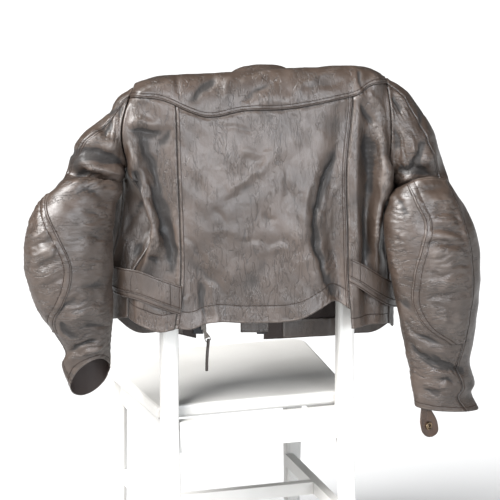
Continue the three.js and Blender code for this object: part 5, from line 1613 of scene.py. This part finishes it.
def thread(name, colour):
    made = Finish(name, Roughness=0.7, Specular_IOR_Level=0.15)
    twist = noise(made.tree, made.place(), 1.2, 1.0)
    pale = tuple(min(1, 1.9 * v) for v in colour[:3]) + (1,)
    made.set(Base_Color=mixed(made.tree, twist, colour, pale))
    return made.material


def metal(name, colour, tarnish):
    made = Finish(name, Metallic=1.0)
    place_at = made.place()
    spots = remap(made.tree, noise(made.tree, place_at, 0.5, 4.0, 0.65), 0.42, 0.68)
    made.set(Base_Color=mixed(made.tree, spots, colour, tarnish))
    made.set(Roughness=remap(made.tree, spots, 0.0, 1.0, 0.28, 0.52))
    scratch = noise(made.tree, place_at, 3.0, 2.0, 0.6, 1.2)
    made.bump(maths(made.tree, "MULTIPLY", scratch, 0.05), 0.5)
    return made.material


def painted_wood(name):
    made = Finish(name, Coat_Weight=0.1, Coat_Roughness=0.3)
    place_at = made.place()
    drift = noise(made.tree, place_at, 0.006, 3.0)
    light, shade = (0.46, 0.45, 0.43, 1), (0.41, 0.40, 0.38, 1)
    made.set(Base_Color=mixed(made.tree, remap(made.tree, drift, 0.35, 0.65), light, shade))
    brush = noise(made.tree, place_at, 0.35, 3.0, 0.6)
    made.set(Roughness=remap(made.tree, brush, 0.3, 0.7, 0.38, 0.5))
    made.bump(maths(made.tree, "MULTIPLY", brush, 0.12), 0.5)
    return made.material


def floor_finish(name):
    made = Finish(name, Roughness=0.9)
    drift = noise(made.tree, made.place(), 0.002, 2.0)
    made.set(Base_Color=mixed(made.tree, drift, (0.38, 0.38, 0.38, 1), (0.40, 0.40, 0.40, 1)))
    return made.material


# ---------------------------------------------------------------- light, floor and camera

# The room's light on the object, and how bright the room looks behind it.
WORLD_LIGHT = 0.13
WORLD_SEEN = 1.0
SUN = {"way": (0.70, 0.42, -0.86), "strength": 12.0, "softness": 36}
LIGHTS = [
    # name, middle, aim, size, watts, colour
    ("wide_window", (-3.3, -3.4, 2.4), (0.0, -0.15, 0.85), (2.6, 1.8), 190, (0.97, 0.98, 1.0)),
    ("low_window", (1.0, -4.2, 1.45), (0.0, -0.15, 0.9), (2.6, 1.1), 170, (0.87, 0.93, 1.0)),
]


def area_light(name, middle, aim, size, power, colour=(1, 1, 1)):
    data = bpy.data.lights.new(name, "AREA")
    data.shape = "RECTANGLE"
    data.size, data.size_y = size
    data.energy = power
    data.color = colour
    made = bpy.data.objects.new(name, data)
    made.location = middle
    made.rotation_euler = (Vector(aim) - Vector(middle)).to_track_quat("-Z", "Y").to_euler()
    bpy.context.scene.collection.objects.link(made)
    return made


def studio():
    world = bpy.data.worlds.new("white_room")
    world.use_nodes = True
    tree = world.node_tree
    seen_directly = add_node(tree, "ShaderNodeLightPath").outputs["Is Camera Ray"]
    strength = remap(tree, seen_directly, 0.0, 1.0, WORLD_LIGHT, WORLD_SEEN)
    tree.nodes["Background"].inputs["Color"].default_value = (1, 1, 1, 1)
    tree.links.new(strength, tree.nodes["Background"].inputs["Strength"])
    bpy.context.scene.world = world
    for row in LIGHTS:
        area_light(*row)
    data = bpy.data.lights.new("soft_sun", "SUN")
    data.energy = SUN["strength"]
    data.angle = math.radians(SUN["softness"])
    sun = bpy.data.objects.new("soft_sun", data)
    sun.rotation_euler = Vector(SUN["way"]).to_track_quat("-Z", "Y").to_euler()
    bpy.context.scene.collection.objects.link(sun)
    size = 40
    floor = add_mesh("floor", np.array([
        [-size, -size, 0], [size, -size, 0], [size, size, 0], [-size, size, 0],
    ]) * 1000.0 - [0, 0, 0.2], [[0, 1, 2, 3]], [floor_finish("white_floor")])
    scene = bpy.context.scene
    scene.view_settings.view_transform = "Standard"
    scene.view_settings.look = "None"
    scene.view_settings.exposure = 0
    scene.view_settings.gamma = 1


# The camera stands behind the chair, a little to its left, and looks slightly down.
CAMERA = {"aim": (-0.01806, -0.19143, 0.755), "way": (0.2837, 0.9279, -0.2419), "away": 5.0,
          "lens": 189.5}


def stand_camera():
    data = bpy.data.cameras.new("camera")
    data.lens = CAMERA["lens"]
    data.sensor_width = 36
    data.clip_end = 200
    data.dof.use_dof = False
    made = bpy.data.objects.new("camera", data)
    way = Vector(CAMERA["way"]).normalized()
    made.location = Vector(CAMERA["aim"]) - way * CAMERA["away"]
    made.rotation_euler = way.to_track_quat("-Z", "Y").to_euler()
    bpy.context.scene.collection.objects.link(made)
    bpy.context.scene.camera = made


# ---------------------------------------------------------------- everything together


def make_finishes():
    place_in_millimetres()
    leather_grain()
    leather_wear_and_painted_light()
    cloth_weave()
    facing = {"Dark": (0.018, 0.012, 0.009, 1), "Middle": (0.042, 0.030, 0.023, 1),
              "Worn_And_Highlight": (0.09, 0.07, 0.056, 1)}
    tan = {"Dark": (0.022, 0.009, 0.004, 1), "Middle": (0.066, 0.031, 0.014, 1),
           "Worn_And_Highlight": (0.13, 0.075, 0.042, 1)}
    return {
        "outside": leather("worn_leather"),
        "sleeve": leather("worn_leather_sleeves", 1.1, stretch=CROSS_WAY),
        "facing": leather("leather_facing", 0.6, 0.12, facing),
        "tab": leather("tan_leather_tab", 0.8, 0.2, tan),
        "lining": lining("satin_lining"),
        "tape": tape("zip_tape_cloth"),
        "thread": thread("brown_thread", (0.020, 0.013, 0.010, 1)),
        # Painted shade: the dark colour of the cords in the seams and stitch grooves.
        "groove": thread("stitch_groove_shade", (0.010, 0.006, 0.004, 1)),
        "nickel": metal("aged_nickel", (0.13, 0.12, 0.11, 1), (0.06, 0.05, 0.04, 1)),
        "brass": metal("aged_brass", (0.22, 0.16, 0.10, 1), (0.07, 0.045, 0.025, 1)),
        "wood": painted_wood("pale_painted_wood"),
    }


def trim_to(width, points, out, least):
    """The longest run of a line along which its piece is at least that wide."""
    good = np.flatnonzero(width > least)
    return points[good[0]:good[-1] + 1], out[good[0]:good[-1] + 1]


SEAM_IN = 0.2  # how far inside an edge its seam's dark line runs


def build_body(finish, threads):
    made = body_panels()
    for panel in made.values():
        build_panel(panel, panel.name, [finish["outside"], finish["lining"]])
        for edge, kind in panel.edges.items():
            if kind == "under":
                # Painted shade: a dark cord along the seam where this panel goes under the next.
                threads.line(*panel.row_at(edge, SEAM_IN), SEAM_LINE)
        threads.follow(panel)
    for side in ("left", "right"):
        facing = facing_panel(side, made["front_" + side])
        build_panel(facing, facing.name, [finish["facing"], finish["facing"]])
        threads.follow(facing)
        for under in (False, True):
            strap = strap_panel(side, under)
            build_panel(strap, strap.name, [finish["outside"], finish["facing"]], rim=0.6)
            threads.follow(strap)
    flap = strip_panel("wind_flap", "right", WIND_FLAP, [("last", 4), ("bottom", 4)])
    build_panel(flap, flap.name, [finish["outside"], finish["facing"]], rim=0.5)
    threads.follow(flap)
    return made


ALLOWANCE = {"in": 3.4, "radius": 2.6}  # the turned-in seam inside an armhole


def build_sleeves(finish, threads):
    for side in ("left", "right"):
        for half in ("back", "front"):
            sleeve = sleeve_panel(side, half, FINE if half == "back" else PLAIN)
            build_panel(sleeve, sleeve.name, [finish["sleeve"], finish["lining"]])
            allowance = sleeve.points[0] - sleeve.out[0] * ALLOWANCE["in"]
            cord = tube(allowance, ALLOWANCE["radius"])
            welt = add_mesh(f"seam_allowance_{half}_{side}", *cord, [finish["facing"]])
            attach(welt, "root")
            threads.follow(sleeve)
            if half == "front":
                continue
            for edge in ("first", "last"):
                # Painted shade: dark cords along both seams of the back half.
                threads.line(*sleeve.row_at(edge, SEAM_IN), SEAM_LINE)
            pad = elbow_panel(side, sleeve)
            made = build_panel(pad, pad.name, [finish["sleeve"], finish["lining"]], rim=0.5)
            width = pad.reach["first"][:, -1]
            for offset in PAD["stitches"]:
                points, out = pad.row_at("last", offset)
                threads.row(*trim_to(width, points, out, offset + 5))


def build_zip(finish):
    for side in ("left", "right"):
        band = strip_panel("zip_tape_" + side, side, ZIP)
        build_panel(band, band.name, [finish["tape"], finish["tape"]])
        edge, way = band.points[:, -1], band.points[:, -1] - band.points[:, -2]
        edge = edge - band.out[:, -1] * ZIP["thick"] / 2
        vertices, faces = teeth_mesh(edge, unit(way[2:-1].mean(axis=0)))
        teeth = add_mesh("zip_teeth_" + side, vertices, faces, [finish["nickel"]])
        teeth.data.polygons.foreach_set("use_smooth", np.zeros(len(faces), dtype=bool))
        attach(teeth, "root")
    thong = plain_panel("zip_lanyard", lanyard_points(), 1, ALL_ENDS, LANYARD["layer"], 0.0, (), 0.1)
    made = build_panel(thong, "zip_lanyard", [finish["outside"], finish["facing"]], body="zip_pull",
                       rim=0.1)


def build_tab(finish):
    edges = {"bottom": "end", "first": "end", "last": "end"}
    sewn = [("first", 3.0), ("last", 3.0)]
    tab = plain_panel("cuff_tab", tab_points(), -1, edges, TAB["thick"], 0.0, sewn, 0.3)
    build_panel(tab, "cuff_tab", [finish["tab"], finish["tab"]], rim=0.5)


SHARP = math.radians(38)  # edges of the chair and the metal that turn more than this are crisp


def finish_frame_nodes(frame, finish):
    """Finishes the parts of the frame that stay in view: the chair and the metal pieces."""
    metal_nodes = {"zip_slider": "nickel", "zip_bail": "nickel", "zip_pull": "nickel",
                   "cuff_snap": "brass"}
    for name, node in frame["nodes"].items():
        if name.startswith("chair_"):
            material, width = finish["wood"], 0.0022
        elif name in metal_nodes:
            material, width = finish[metal_nodes[name]], 0.0003
        else:
            continue
        node.data.materials.clear()
        node.data.materials.append(material)
        soft = node.modifiers.new("soft_edges", "BEVEL")
        soft.width = width
        soft.segments = 3
        soft.limit_method = "ANGLE"
        soft.angle_limit = SHARP
        soft.harden_normals = True
        node.data.polygons.foreach_set("use_smooth", np.ones(len(node.data.polygons), dtype=bool))
        node.data.set_sharp_from_angle(angle=SHARP)


def corners(bounds):
    return [[float(v) for v in corner] for corner in bounds]


def main():
    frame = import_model()
    stand_camera()
    finish = make_finishes()
    threads = Threads()
    build_body(finish, threads)
    build_sleeves(finish, threads)
    build_zip(finish)
    build_tab(finish)
    threads.build("stitching", finish["thread"])
    # The dark cords of painted shade in the seams and stitch grooves.
    threads.press("groove_shade_lines", finish["groove"])
    finish_frame_nodes(frame, finish)
    studio()


main()
